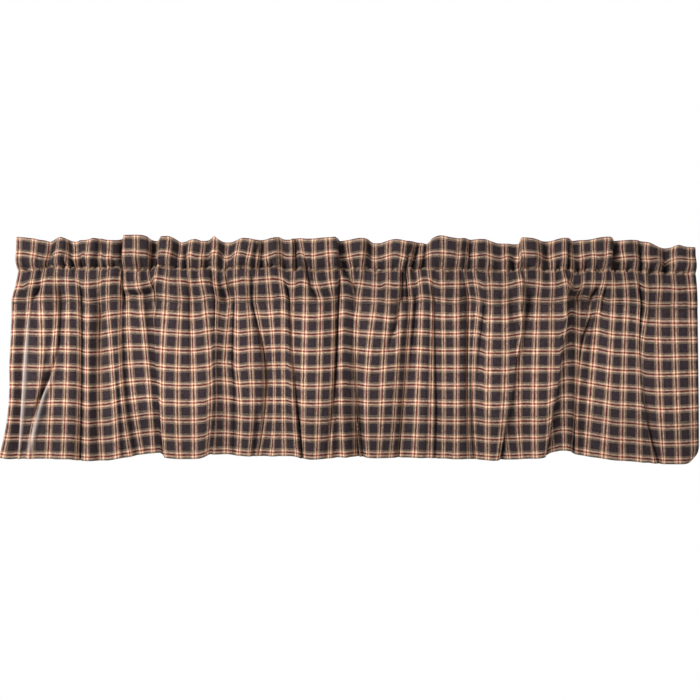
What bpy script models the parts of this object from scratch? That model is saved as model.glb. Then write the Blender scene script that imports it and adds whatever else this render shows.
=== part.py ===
"""Gathered rod-pocket window valance, as the cloth hangs.

One width of yarn-dyed check cotton. Its top is turned over to the back and stitched twice, which
makes a standing ruffle above a rod pocket. Below the pocket the cloth drops in uneven folds to a
deep hem. Metres, +Z up, the front of the cloth faces -Y, and the rod runs along X through the
origin, at the middle of the pocket.
"""
import math

import bmesh
import bpy
import numpy as np

MM = 0.001

# The cloth, measured down from the top fold and along the width, in repeats of its check.
CHECK = 31.3 * MM
RUFFLE = 2.0
POCKET = 2.37
DROP = 8.86
HEM = 2.5
LEFT_EDGE = 0.88
RIGHT_EDGE = 60.40

SEAM_1 = RUFFLE
SEAM_2 = RUFFLE + POCKET
LOWER_EDGE = RUFFLE + POCKET + DROP

# Heights of the finished piece.
TOP_HEIGHT = 82 * MM
SEAM_HEIGHT = 31 * MM
END_SAG = 11 * MM

# The pocket stands open: how far its two layers stand off the rod's axis.
FRONT_BULGE = 17 * MM
BACK_BULGE = 16 * MM

PLY = 1.1 * MM
HEM_PLY = 1.8 * MM
GAP = 0.3 * MM

# The free lower corner curls back: how far from its tip, and round what radius.
CURL_REACH = 24 * MM
CURL_RADIUS = 14 * MM

# Steps along the cloth, in checks, and how many of them the solids keep.
FINE_STEP = 0.04
COLUMNS = 160
MIDDLE = 0.4

# The folds stand deeper than they look face on: the cloth's own width has to fit in them.
DROP_DEPTH = 1.2

# Folds that lap over the next come apart at the stitches, over this distance, in checks.
LAP_REACH = 1.8

# Every fold of the ruffle, left to right. cloth: where the fold lies on the flat cloth, in checks.
# top, seam: where it stands along the rod at the top edge and at the upper seam, in mm.
# depth: how far it stands forward of the seam line at the top edge, in mm, less than 0 for a dip.
RUFFLE_COLUMNS = ("cloth", "top", "seam", "depth")
RUFFLE_FOLDS = (
    (0.93, -595, -595, 4),
    (2.00, -562, -566, 6),
    (3.45, -530, -537, -16),
    (4.50, -512, -513, 12),
    (5.60, -499, -493, -16),
    (6.60, -475, -477, -4),
    (7.40, -456, -460, 6),
    (8.10, -446, -444, -8),
    (9.00, -428, -430, -2),
    (10.20, -404, -405, -9),
    (10.95, -401, -402, 8),
    (12.00, -379, -380, 14),
    (12.75, -360, -363, 8),
    (13.35, -357, -357, -16),
    (13.85, -345, -347, -10),
    (14.20, -338, -341, 5),
    (14.90, -323, -325, 11),
    (16.00, -304, -304, -20),
    (17.40, -276, -280, 6),
    (18.60, -251, -254, 0),
    (19.00, -241, -244, 5),
    (20.10, -219, -222, -18),
    (21.50, -187, -194, 8),
    (22.50, -169, -175, -14),
    (23.45, -159, -159, -14),
    (24.60, -137, -133, 9),
    (25.25, -121, -119, -8),
    (26.00, -103, -102, 0),
    (26.35, -98, -94, -12),
    (27.00, -88, -78, 1),
    (28.00, -63, -63, 8),
    (29.45, -23, -19, 10),
    (30.20, -20, -13, -14),
    (31.00, -4, 2, -6),
    (31.85, 20, 18, 6),
    (32.50, 33, 33, -14),
    (33.40, 53, 54, -10),
    (34.40, 79, 76, 5),
    (35.35, 102, 94, -14),
    (36.00, 114, 103, -6),
    (36.60, 124, 116, -16),
    (37.10, 130, 126, -8),
    (37.60, 137, 135, -14),
    (38.15, 144, 144, 7),
    (39.00, 166, 165, 13),
    (40.20, 197, 195, 6),
    (41.50, 215, 212, -12),
    (42.40, 232, 230, 7),
    (43.60, 264, 265, -8),
    (44.80, 297, 295, -10),
    (45.35, 309, 306, -5),
    (45.75, 303, 305, 5),
    (46.60, 323, 325, 12),
    (47.60, 351, 352, -6),
    (48.90, 379, 379, 9),
    (49.55, 389, 389, 6),
    (50.10, 397, 398, -12),
    (51.00, 416, 416, -5),
    (52.90, 451, 452, 10),
    (53.45, 463, 461, 8),
    (54.10, 471, 470, -12),
    (55.40, 494, 496, 5),
    (56.50, 518, 517, -9),
    (57.50, 535, 535, 4),
    (58.50, 565, 563, -18),
    (59.40, 587, 586, 3),
    (60.40, 616, 615, -2),
)

# Every fold of the drop, left to right. cloth: where the fold lies on the flat cloth at the lower
# seam, in checks. slant: how far it has wandered along the cloth by the hem, in checks.
# seam, middle, hem: where it stands along the rod, in mm, at the lower seam, at MIDDLE of the way
# down and at the hem. seam_depth, hem_depth: how far it stands forward there, in mm.
DROP_COLUMNS = ("cloth", "slant", "seam", "middle", "hem", "seam_depth", "hem_depth")
DROP_FOLDS = (
    (0.88, 0.00, -600, -605, -621, 3, 6),
    (2.12, 0.00, -567, -572, -586, 9, 16),
    (2.65, -0.30, -560, -565, -583, -5, 6),
    (3.40, -1.00, -539, -553, -581, 4, 9),
    (4.20, -1.70, -520, -542, -580, -4, 2),
    (4.60, -1.65, -512, -529, -566, 0, 16),
    (6.08, 0.00, -481, -481, -485, 8, 13),
    (6.62, 0.00, -475, -475, -478, -7, -9),
    (7.30, 0.00, -462, -462, -461, 7, 16),
    (7.85, 0.00, -452, -453, -447, -3, 4),
    (8.60, 0.00, -439, -434, -425, 4, 8),
    (9.55, 0.00, -421, -417, -404, -4, -4),
    (10.05, 0.00, -409, -409, -393, 1, -4),
    (10.50, 0.00, -405, -403, -385, -8, -12),
    (11.50, 0.00, -385, -377, -363, 3, -4),
    (12.40, 0.00, -371, -360, -350, -5, -14),
    (13.25, 0.40, -345, -328, -316, -5, -8),
    (13.94, 0.92, -353, -346, -333, 5, 8),
    (15.60, 0.00, -312, -316, -314, 9, 17),
    (16.80, 0.00, -288, -284, -281, 3, 13),
    (17.50, 0.00, -272, -264, -264, 7, 17),
    (18.35, 0.00, -251, -243, -250, 9, 14),
    (19.30, 0.00, -235, -242, -241, -9, -16),
    (20.30, 0.00, -212, -215, -216, -7, -16),
    (20.75, 0.00, -208, -207, -205, 4, 2),
    (21.50, 0.00, -193, -188, -188, 7, 8),
    (22.30, 0.80, -177, -161, -160, 5, 4),
    (22.75, 0.70, -172, -152, -154, -7, -14),
    (24.50, 0.00, -129, -129, -129, 2, -6),
    (25.35, 1.00, -112, -109, -93, -6, -10),
    (25.80, 1.00, -107, -101, -88, 4, 8),
    (27.50, 0.00, -67, -69, -72, 9, 19),
    (29.00, 0.00, -30, -32, -39, 8, 12),
    (29.75, 0.00, -21, -21, -21, -7, -12),
    (30.40, 0.00, -7, -9, -6, -6, -11),
    (31.00, 0.35, 11, 13, 12, -2, -5),
    (31.69, 0.10, 1, 1, 15, 4, 6),
    (33.00, 0.00, 41, 30, 27, 9, 17),
    (34.80, -0.80, 83, 73, 54, 7, 8),
    (35.40, -0.10, 96, 92, 81, -5, -8),
    (36.00, 0.00, 108, 102, 91, 1, 0),
    (36.50, 0.00, 117, 113, 104, -5, -8),
    (37.50, 0.00, 138, 135, 129, 5, 9),
    (38.40, 0.00, 157, 154, 152, -6, -6),
    (39.50, 0.00, 177, 176, 176, 6, 11),
    (41.00, 0.00, 209, 205, 208, -8, -12),
    (42.00, 0.00, 228, 218, 223, 3, 2),
    (42.45, 0.00, 237, 231, 232, 0, 8),
    (43.50, 0.00, 261, 260, 252, 8, 19),
    (45.20, -1.10, 309, 297, 267, 5, 12),
    (45.75, -1.15, 301, 287, 274, -1, -4),
    (46.45, 0.00, 318, 314, 314, -6, -8),
    (47.50, 0.00, 346, 343, 338, 6, 13),
    (49.20, -1.10, 388, 376, 351, 4, 9),
    (49.80, -1.10, 378, 367, 360, -3, -8),
    (50.50, 0.00, 395, 396, 395, -8, -23),
    (51.30, 0.00, 416, 410, 404, -5, -20),
    (52.30, -0.80, 435, 412, 406, -7, -14),
    (52.70, -0.80, 439, 415, 408, 1, -2),
    (53.40, 0.00, 453, 444, 435, -1, 2),
    (54.60, 0.00, 479, 476, 470, 4, 9),
    (56.05, 1.00, 515, 517, 539, 6, 10),
    (56.60, 0.85, 522, 518, 549, -3, -6),
    (58.00, 0.00, 548, 548, 556, 2, 4),
    (59.20, 0.00, 583, 585, 589, 4, 6),
    (60.40, 0.00, 619, 621, 622, 0, 0),
)


def column(rows, names, name):
    """One named column of a table, as an array."""
    return np.array([row[names.index(name)] for row in rows], float)


def ease(value, low, high):
    """0 below low, 1 above high and a smooth rise between."""
    t = np.clip((np.asarray(value, float) - low) / (high - low), 0, 1)
    return t * t * (3 - 2 * t)


def through(places, values, at):
    """A smooth curve through values at places, which never swings past them."""
    step = np.diff(places)
    rise = np.diff(values) / step
    slope = np.empty(len(values))
    slope[0], slope[-1] = rise[0], rise[-1]
    same_way = rise[:-1] * rise[1:] > 0
    before = 2 * step[1:] + step[:-1]
    after = step[1:] + 2 * step[:-1]
    safe_left = np.where(same_way, rise[:-1], 1)
    safe_right = np.where(same_way, rise[1:], 1)
    mean = (before + after) / (before / safe_left + after / safe_right)
    slope[1:-1] = np.where(same_way, mean, 0)
    i = np.clip(np.searchsorted(places, at) - 1, 0, len(step) - 1)
    t = (at - places[i]) / step[i]
    return (
        values[i] * (2 * t**3 - 3 * t**2 + 1)
        + slope[i] * step[i] * (t**3 - 2 * t**2 + t)
        + values[i + 1] * (3 * t**2 - 2 * t**3)
        + slope[i + 1] * step[i] * (t**3 - t**2)
    )


def soften(values, width):
    """Rounds a row of evenly spaced values over width, in checks, and keeps its two ends."""
    reach = max(1, int(round(2.5 * width / FINE_STEP)))
    offsets = np.arange(-reach, reach + 1)
    weights = np.exp(-0.5 * (offsets * FINE_STEP / width) ** 2)
    padded = np.concatenate(
        [
            2 * values[0] - values[reach:0:-1],
            values,
            2 * values[-1] - values[-2 : -reach - 2 : -1],
        ]
    )
    return np.convolve(padded, weights / weights.sum(), mode="valid")


CLOTH = np.arange(LEFT_EDGE, RIGHT_EDGE + FINE_STEP / 2, FINE_STEP)


def ruffle_line(down):
    """Where the cloth stands at a height of the ruffle: along the rod and forward, in metres."""
    share = np.clip(down / RUFFLE, 0, 1)
    cloth = column(RUFFLE_FOLDS, RUFFLE_COLUMNS, "cloth")
    top = column(RUFFLE_FOLDS, RUFFLE_COLUMNS, "top")
    seam = column(RUFFLE_FOLDS, RUFFLE_COLUMNS, "seam")
    depth = column(RUFFLE_FOLDS, RUFFLE_COLUMNS, "depth")
    along = through(cloth, top + (seam - top) * share, CLOTH)
    forward = through(cloth, depth * (1 - 0.6 * share), CLOTH)
    return along * MM, forward * MM


def drop_line(down):
    """Where the cloth stands at a height of the drop: along the rod and forward, in metres."""
    share = np.clip((down - SEAM_2) / DROP, 0, 1)
    cloth = column(DROP_FOLDS, DROP_COLUMNS, "cloth")
    slant = column(DROP_FOLDS, DROP_COLUMNS, "slant")
    seam = column(DROP_FOLDS, DROP_COLUMNS, "seam")
    middle = column(DROP_FOLDS, DROP_COLUMNS, "middle")
    hem = column(DROP_FOLDS, DROP_COLUMNS, "hem")
    seam_depth = column(DROP_FOLDS, DROP_COLUMNS, "seam_depth")
    hem_depth = column(DROP_FOLDS, DROP_COLUMNS, "hem_depth")
    at_seam = (1 - share) * (MIDDLE - share) / MIDDLE
    at_middle = share * (1 - share) / (MIDDLE * (1 - MIDDLE))
    at_hem = share * (share - MIDDLE) / (1 - MIDDLE)
    place = seam * at_seam + middle * at_middle + hem * at_hem
    depth = DROP_DEPTH * (seam_depth + (hem_depth - seam_depth) * (1 - (1 - share) ** 1.6))
    along = through(cloth + slant * share, place, CLOTH)
    forward = through(cloth + slant * share, depth, CLOTH)
    return along * MM, forward * MM


def opened(along):
    """The same folds with none lapped over the next, as a line of stitches holds them."""
    from_left = np.maximum.accumulate(along)
    from_right = np.minimum.accumulate(along[::-1])[::-1]
    return (from_left + from_right) / 2


def fold_line(down):
    """The folds at a distance below the top fold, in checks, rounded and held in at the seams."""
    lower = float(ease(down, SEAM_1 + 0.2, SEAM_2 - 0.1))
    upper_along, upper_forward = ruffle_line(down)
    lower_along, lower_forward = drop_line(down)
    along = upper_along + (lower_along - upper_along) * lower
    forward = upper_forward + (lower_forward - upper_forward) * lower
    from_seams = min(abs(down - SEAM_1), abs(down - SEAM_2))
    in_pocket = SEAM_1 < down < SEAM_2
    held = 1.0 if in_pocket else 1 - float(ease(from_seams, 0.0, 0.9))
    lapped = 0.0 if in_pocket else float(ease(from_seams, 0.0, LAP_REACH))
    along = opened(along) + (along - opened(along)) * lapped
    width = 0.15 + 0.20 * held
    flatness = 1 - 0.15 * held
    return soften(along, width), soften(forward, width) * flatness


def heights(down, forward):
    """Height of each point: crests stand highest at the top edge and hang lowest at the hem."""
    if down <= SEAM_1:
        level = TOP_HEIGHT + (SEAM_HEIGHT - TOP_HEIGHT) * (down / RUFFLE)
        lift = 0.30 * (1 - down / RUFFLE)
    elif down <= SEAM_2:
        share = (down - SEAM_1) / POCKET
        level = SEAM_HEIGHT * math.cos(math.pi * share)
        level = 0.55 * level + 0.45 * SEAM_HEIGHT * (1 - 2 * share)
        lift = -0.30 * share
    else:
        share = (down - SEAM_2) / DROP
        level = -SEAM_HEIGHT - (down - SEAM_2) * CHECK
        lift = -0.30 + 0.14 * share
    sag = END_SAG * ease(CLOTH, 51.0, 57.5)
    return level + lift * forward - sag


def bulge(down):
    """How open the pocket is at a height: 0 at its two seams and 1 at its middle."""
    share = np.clip((down - SEAM_1) / POCKET, 0, 1)
    return math.sin(math.pi * share) ** 0.8


def turned_corner(points):
    """Curls the free lower corner back, past a slanting line near its tip."""
    tip = points[-1, -1].copy()
    past = (points[..., 0] - tip[0] - points[..., 2] + tip[2]) / math.sqrt(2) + CURL_REACH
    bent = np.clip(past, 0, None)
    turn = np.clip(bent / CURL_RADIUS, 0, 1.5)
    straight = bent - turn * CURL_RADIUS
    shift = bent - CURL_RADIUS * np.sin(turn) - straight * np.cos(turn)
    points[..., 0] -= shift / math.sqrt(2)
    points[..., 2] += shift / math.sqrt(2)
    points[..., 1] += CURL_RADIUS * (1 - np.cos(turn)) + straight * np.sin(turn)
    return points


def chosen_columns():
    """Places along the cloth for the solid's facets, closer together where it turns most."""
    turning = np.zeros(len(CLOTH))
    for down in (0.3, SEAM_2 + 1.0, SEAM_2 + 0.5 * DROP, LOWER_EDGE):
        along, forward = fold_line(down)
        angle = np.unwrap(np.arctan2(np.gradient(forward), np.gradient(along)))
        turning += np.abs(np.gradient(angle)) / FINE_STEP
    need = 1.6 + 0.55 * soften(turning, 0.1)
    run = np.concatenate([[0], np.cumsum((need[1:] + need[:-1]) / 2)])
    marks = np.linspace(0, run[-1], COLUMNS)
    return np.unique(np.round(np.interp(marks, run, np.arange(len(CLOTH)))).astype(int))


PICKED = chosen_columns()


def sheet_row(down, stand_off):
    """One level row of points, with the layer standing forward of the folds by stand_off."""
    along, forward = fold_line(down)
    height = heights(down, forward)
    return np.stack([along, -(forward + stand_off), height], axis=1)[PICKED]


def side_ways(rows):
    """Unit vectors to the front of a sheet of rows of points."""
    across = np.gradient(rows, axis=1)
    down = np.gradient(rows, axis=0)
    normal = np.cross(down, across)
    return normal / np.linalg.norm(normal, axis=2, keepdims=True)


def make_solid(name, triangles, points, colour):
    """A closed mesh object from its points and the triangles between them."""
    mesh = bpy.data.meshes.new(name)
    work = bmesh.new()
    corners = [work.verts.new(point) for point in points]
    for triangle in triangles:
        work.faces.new([corners[number] for number in triangle])
    bmesh.ops.recalc_face_normals(work, faces=work.faces[:])
    work.to_mesh(mesh)
    work.free()
    solid = bpy.data.objects.new(name, mesh)
    bpy.context.scene.collection.objects.link(solid)
    material = bpy.data.materials.new(name + "_cloth")
    material.use_nodes = True
    surface = material.node_tree.nodes["Principled BSDF"]
    surface.inputs["Base Color"].default_value = (*colour, 1.0)
    surface.inputs["Roughness"].default_value = 0.9
    surface.inputs["Metallic"].default_value = 0.0
    mesh.materials.append(material)
    return solid


def slants(upper, lower):
    """Whether the shorter way across each four-sided patch runs down to the right."""
    down_right = np.linalg.norm(upper[:-1] - lower[1:], axis=1)
    down_left = np.linalg.norm(upper[1:] - lower[:-1], axis=1)
    return down_right <= down_left


def band(upper, lower, to_right):
    """Triangles between two rows of point numbers, each patch cut the way to_right says."""
    triangles = []
    for i, right in enumerate(to_right):
        if right:
            triangles.append((upper[i], lower[i], lower[i + 1]))
            triangles.append((upper[i], lower[i + 1], upper[i + 1]))
        else:
            triangles.append((upper[i], lower[i], upper[i + 1]))
            triangles.append((upper[i + 1], lower[i], lower[i + 1]))
    return triangles


def walls(middle, front, back):
    """Both faces of a layer of cloth, cut alike, and the layer's two side edges."""
    triangles = []
    for row in range(len(middle) - 1):
        to_right = slants(middle[row], middle[row + 1])
        triangles += band(front[row], front[row + 1], to_right)
        triangles += band(back[row], back[row + 1], to_right)
        for edge in (0, -1):
            sides = ((front[row, edge], back[row, edge]), (front[row + 1, edge], back[row + 1, edge]))
            triangles += band(sides[0], sides[1], [True])
    return triangles


def numbered(rows, numbers_used):
    """A number for each point of some rows, after those already used."""
    level, columns = rows.shape[:2]
    return numbers_used + np.arange(level * columns).reshape(level, columns)


def make_drop():
    """The drop: one ply down to the hem, and its turned-up hem as a thicker band."""
    hem_top = LOWER_EDGE - HEM
    downs = (
        SEAM_2 + GAP / CHECK,
        SEAM_2 + 0.8,
        SEAM_2 + 0.28 * DROP,
        SEAM_2 + 0.50 * DROP,
        hem_top - 0.05,
        hem_top + 0.05,
        LOWER_EDGE,
    )
    middle = turned_corner(np.array([sheet_row(down, 0.0) for down in downs]))
    half = np.array([(HEM_PLY if down > hem_top else PLY) / 2 for down in downs])
    off = side_ways(middle) * half[:, None, None]
    front = numbered(middle, 0)
    back = numbered(middle, front.size)
    points = np.concatenate([middle + off, middle - off]).reshape(-1, 3)
    triangles = walls(middle, front, back)
    for row in (0, -1):
        triangles += band(front[row], back[row], [True] * (front.shape[1] - 1))
    return make_solid("drop", triangles, points, (0.10, 0.085, 0.08))


def make_heading():
    """Ruffle and rod pocket: two plies stitched together above and below an open tunnel."""
    ruffle = np.array([sheet_row(down, 0.0) for down in (0.0, 0.5 * RUFFLE, SEAM_1)])
    foot = np.array([sheet_row(down, 0.0) for down in (SEAM_2 - 0.2, SEAM_2)])
    ruffle_off = side_ways(ruffle) * PLY
    foot_off = side_ways(foot)[-1:] * PLY
    tunnel_top = sheet_row(SEAM_1 + 0.12, 0.0)[None]
    tunnel_foot = sheet_row(SEAM_2 - 0.12, 0.0)[None]
    pocket_downs = (SEAM_1 + 0.25 * POCKET, SEAM_1 + 0.5 * POCKET, SEAM_1 + 0.75 * POCKET)

    ruffle_front = numbered(ruffle, 0)
    ruffle_back = numbered(ruffle, ruffle.size // 3)
    points = [ruffle + ruffle_off, ruffle - ruffle_off, tunnel_top, tunnel_foot]
    used = 2 * ruffle_front.size
    top_line = numbered(tunnel_top, used)
    foot_line = numbered(tunnel_foot, used + top_line.size)
    used += 2 * top_line.size

    triangles = walls(ruffle, ruffle_front, ruffle_back)
    triangles += band(ruffle_front[0], ruffle_back[0], [True] * (ruffle_front.shape[1] - 1))
    feet = []
    for side, stand_off in ((1, FRONT_BULGE), (-1, -BACK_BULGE)):
        layer = np.array([sheet_row(down, stand_off * bulge(down)) for down in pocket_downs])
        off = side_ways(layer) * side * PLY / 2
        outer = numbered(layer, used)
        inner = numbered(layer, used + outer.size)
        foot_row = numbered(foot[-1:], used + 2 * outer.size)
        used += 2 * outer.size + foot_row.size
        points += [layer + off, layer - off, foot[-1:] + side * foot_off]
        seam_row = (ruffle_front if side > 0 else ruffle_back)[-1:]
        middle = np.concatenate([ruffle[-1:], layer, foot[-1:]])
        outside = np.concatenate([seam_row, outer, foot_row])
        inside = np.concatenate([top_line, inner, foot_line])
        triangles += walls(middle, outside, inside)
        feet.append(foot_row[0])
    triangles += band(feet[0], feet[1], [True] * (len(feet[0]) - 1))
    for edge in (0, -1):
        triangles.append((ruffle_front[-1, edge], top_line[0, edge], ruffle_back[-1, edge]))
        triangles.append((feet[0][edge], foot_line[0, edge], feet[1][edge]))
    points = np.concatenate([rows.reshape(-1, 3) for rows in points])
    return make_solid("heading", triangles, points, (0.085, 0.07, 0.07))


for old in list(bpy.data.objects):
    bpy.data.objects.remove(old, do_unlink=True)

make_heading()
make_drop()
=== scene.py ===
"""Looks of a gathered window valance in a woven check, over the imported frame.

One length of cloth is sewn to itself: its top is turned over to the back and stitched twice, which
makes a standing ruffle and a rod pocket, and its lower edge and sides are hemmed. Places on the cloth
are given flat, in repeats of its check: across from its left side, and down from the top fold.
"""
import math

import bpy
import numpy as np
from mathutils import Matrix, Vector


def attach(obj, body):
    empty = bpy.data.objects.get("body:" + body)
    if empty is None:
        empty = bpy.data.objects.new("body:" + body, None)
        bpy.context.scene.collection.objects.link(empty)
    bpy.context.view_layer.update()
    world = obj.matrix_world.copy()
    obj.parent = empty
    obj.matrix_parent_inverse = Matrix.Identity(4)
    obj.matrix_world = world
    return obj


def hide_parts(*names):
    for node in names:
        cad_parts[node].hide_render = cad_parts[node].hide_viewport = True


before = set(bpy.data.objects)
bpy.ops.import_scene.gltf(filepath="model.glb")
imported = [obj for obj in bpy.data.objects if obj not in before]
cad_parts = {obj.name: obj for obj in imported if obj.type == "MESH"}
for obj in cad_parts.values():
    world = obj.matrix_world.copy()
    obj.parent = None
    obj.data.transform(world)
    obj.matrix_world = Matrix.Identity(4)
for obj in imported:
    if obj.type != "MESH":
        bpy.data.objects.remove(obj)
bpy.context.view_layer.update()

MM = 0.001

# The cloth, in repeats of its check.
CHECK = 31.3 * MM
RUFFLE = 2.0
POCKET = 2.37
DROP = 8.86
HEM = 2.5
SIDE_HEM = 0.42
LEFT_EDGE = 0.88
RIGHT_EDGE = 60.40

SEAM_1 = RUFFLE
SEAM_2 = RUFFLE + POCKET
LOWER_EDGE = RUFFLE + POCKET + DROP
TURNED_UNDER = 0.35

# The rows of stitches below the upper seam: along the pocket's lower side, along the hem, and that
# last row again as it shows on the ply that is turned up behind.
LOWER_STITCHES = SEAM_2 - 0.05
HEM_STITCHES = LOWER_EDGE - HEM
STITCHES_ON_HEM = LOWER_EDGE + HEM - 0.12

# How high the top edge and the upper seam stand over the rod's axis, with the lower seam as far below
# it, and how far the pocket's front and back stand out from the folds at their middle.
TOP_HEIGHT = 82 * MM
SEAM_HEIGHT = 31 * MM
FRONT_BULGE = 7 * MM
BACK_BULGE = 16 * MM

# One ply, and how far apart two plies lie where they are stitched together.
PLY = 0.6 * MM
PLY_STEP = 1.0 * MM

# How far down the pocket it stands widest open, and how much of its front hangs round, not straight.
WIDEST = 0.4
POCKET_ROUND = 0.55

# The free lower corner curls back: how far from its tip, round what radius and how far, in radians.
CURL_REACH = 24 * MM
CURL_RADIUS = 14 * MM
CURL_TURN = 1.5

# The stitches: how thick the thread is, how many there are to a check and how much of it they fill.
THREAD = 0.45 * MM
STITCHES_A_CHECK = 9.5
STITCH_SHARE = 0.8

# How much of its length the drop hangs, in its slight waves.
HANG = 0.992

# The step across the cloth at which every row is first worked out, in checks.
FINE_STEP = 0.04

# The two levels below the lower seam at which the drop's folds are placed, as shares of the drop.
MIDDLE = 0.4
LOW = 0.946

# How much deeper than their rows say the ruffle's dips and the drop's folds are.
DIP_DEPTH = 1.2
DROP_DEPTH = 1.2

# How far from a seam, in checks, it still holds the folds apart, and how round they are, as a width
# in checks: where they hang free, and how much more where a seam holds them.
SEAM_REACH = 0.9
FREE_ROUNDING = 0.08
HELD_ROUNDING = 0.10

# How many columns each sheet has between its side hems.
HEADING_ACROSS = 850
DROP_ACROSS = 848

# Every fold of the ruffle, left to right. cloth: where the fold lies on the flat cloth, in checks.
# top, seam: where it stands along the rod at the top edge and at the upper seam, in mm.
# depth: how far it stands forward of the seam line at the top edge, in mm, less than 0 for a dip.
RUFFLE_COLUMNS = ("cloth", "top", "seam", "depth")
RUFFLE_FOLDS = (
    (0.93, -592, -590, 4),
    (2.00, -561, -563, 6),
    (3.45, -528, -535, -5),
    (4.50, -510, -513, 9),
    (5.60, -500, -493, -6),
    (6.60, -475, -476, -4),
    (7.40, -456, -460, 6),
    (8.10, -447, -444, -8),
    (9.00, -429, -430, -2),
    (10.20, -404, -405, -9),
    (10.95, -402, -402, 8),
    (12.00, -379, -379, 14),
    (12.75, -360, -361, 8),
    (13.35, -356, -356, -16),
    (13.85, -344, -346, -10),
    (14.20, -337, -341, 5),
    (14.90, -322, -327, 11),
    (16.00, -303, -305, -7),
    (17.40, -274, -279, 6),
    (18.60, -249, -252, -3),
    (19.00, -239, -241, 5),
    (20.10, -218, -221, -7),
    (21.50, -185, -194, 8),
    (22.50, -167, -174, 6),
    (23.45, -157, -159, -10),
    (24.60, -137, -133, 9),
    (25.25, -121, -119, -3),
    (26.00, -103, -102, 5),
    (26.35, -98, -94, -6),
    (27.00, -88, -78, 1),
    (28.00, -64, -64, 4),
    (28.90, -43, -40, 10),
    (29.45, -26, -21, 10),
    (30.20, -23, -14, -14),
    (31.00, -4, 3, -6),
    (31.85, 21, 18, 8),
    (32.50, 34, 32, -9),
    (33.40, 53, 54, -10),
    (34.40, 81, 77, 5),
    (35.00, 96, 89, 8),
    (35.40, 105, 96, 2),
    (36.00, 115, 103, -6),
    (36.60, 124, 115, -16),
    (37.10, 130, 124, -8),
    (37.60, 137, 134, -14),
    (38.15, 144, 143, 7),
    (39.00, 166, 165, 13),
    (40.20, 198, 194, 8),
    (41.50, 217, 212, -6),
    (42.40, 232, 230, 7),
    (43.60, 264, 265, -4),
    (44.80, 299, 296, -10),
    (45.35, 310, 307, -5),
    (45.75, 305, 306, 5),
    (46.60, 324, 326, 9),
    (47.60, 351, 352, -6),
    (48.90, 379, 378, 9),
    (49.55, 389, 388, 6),
    (50.10, 397, 397, -8),
    (51.00, 414, 415, -5),
    (52.90, 453, 450, 10),
    (53.45, 468, 460, 8),
    (54.10, 471, 469, -10),
    (55.40, 494, 497, 5),
    (56.50, 520, 518, -5),
    (57.50, 540, 536, 4),
    (58.50, 567, 565, -13),
    (59.40, 589, 585, 3),
    (60.40, 616, 615, -2),
)

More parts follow.
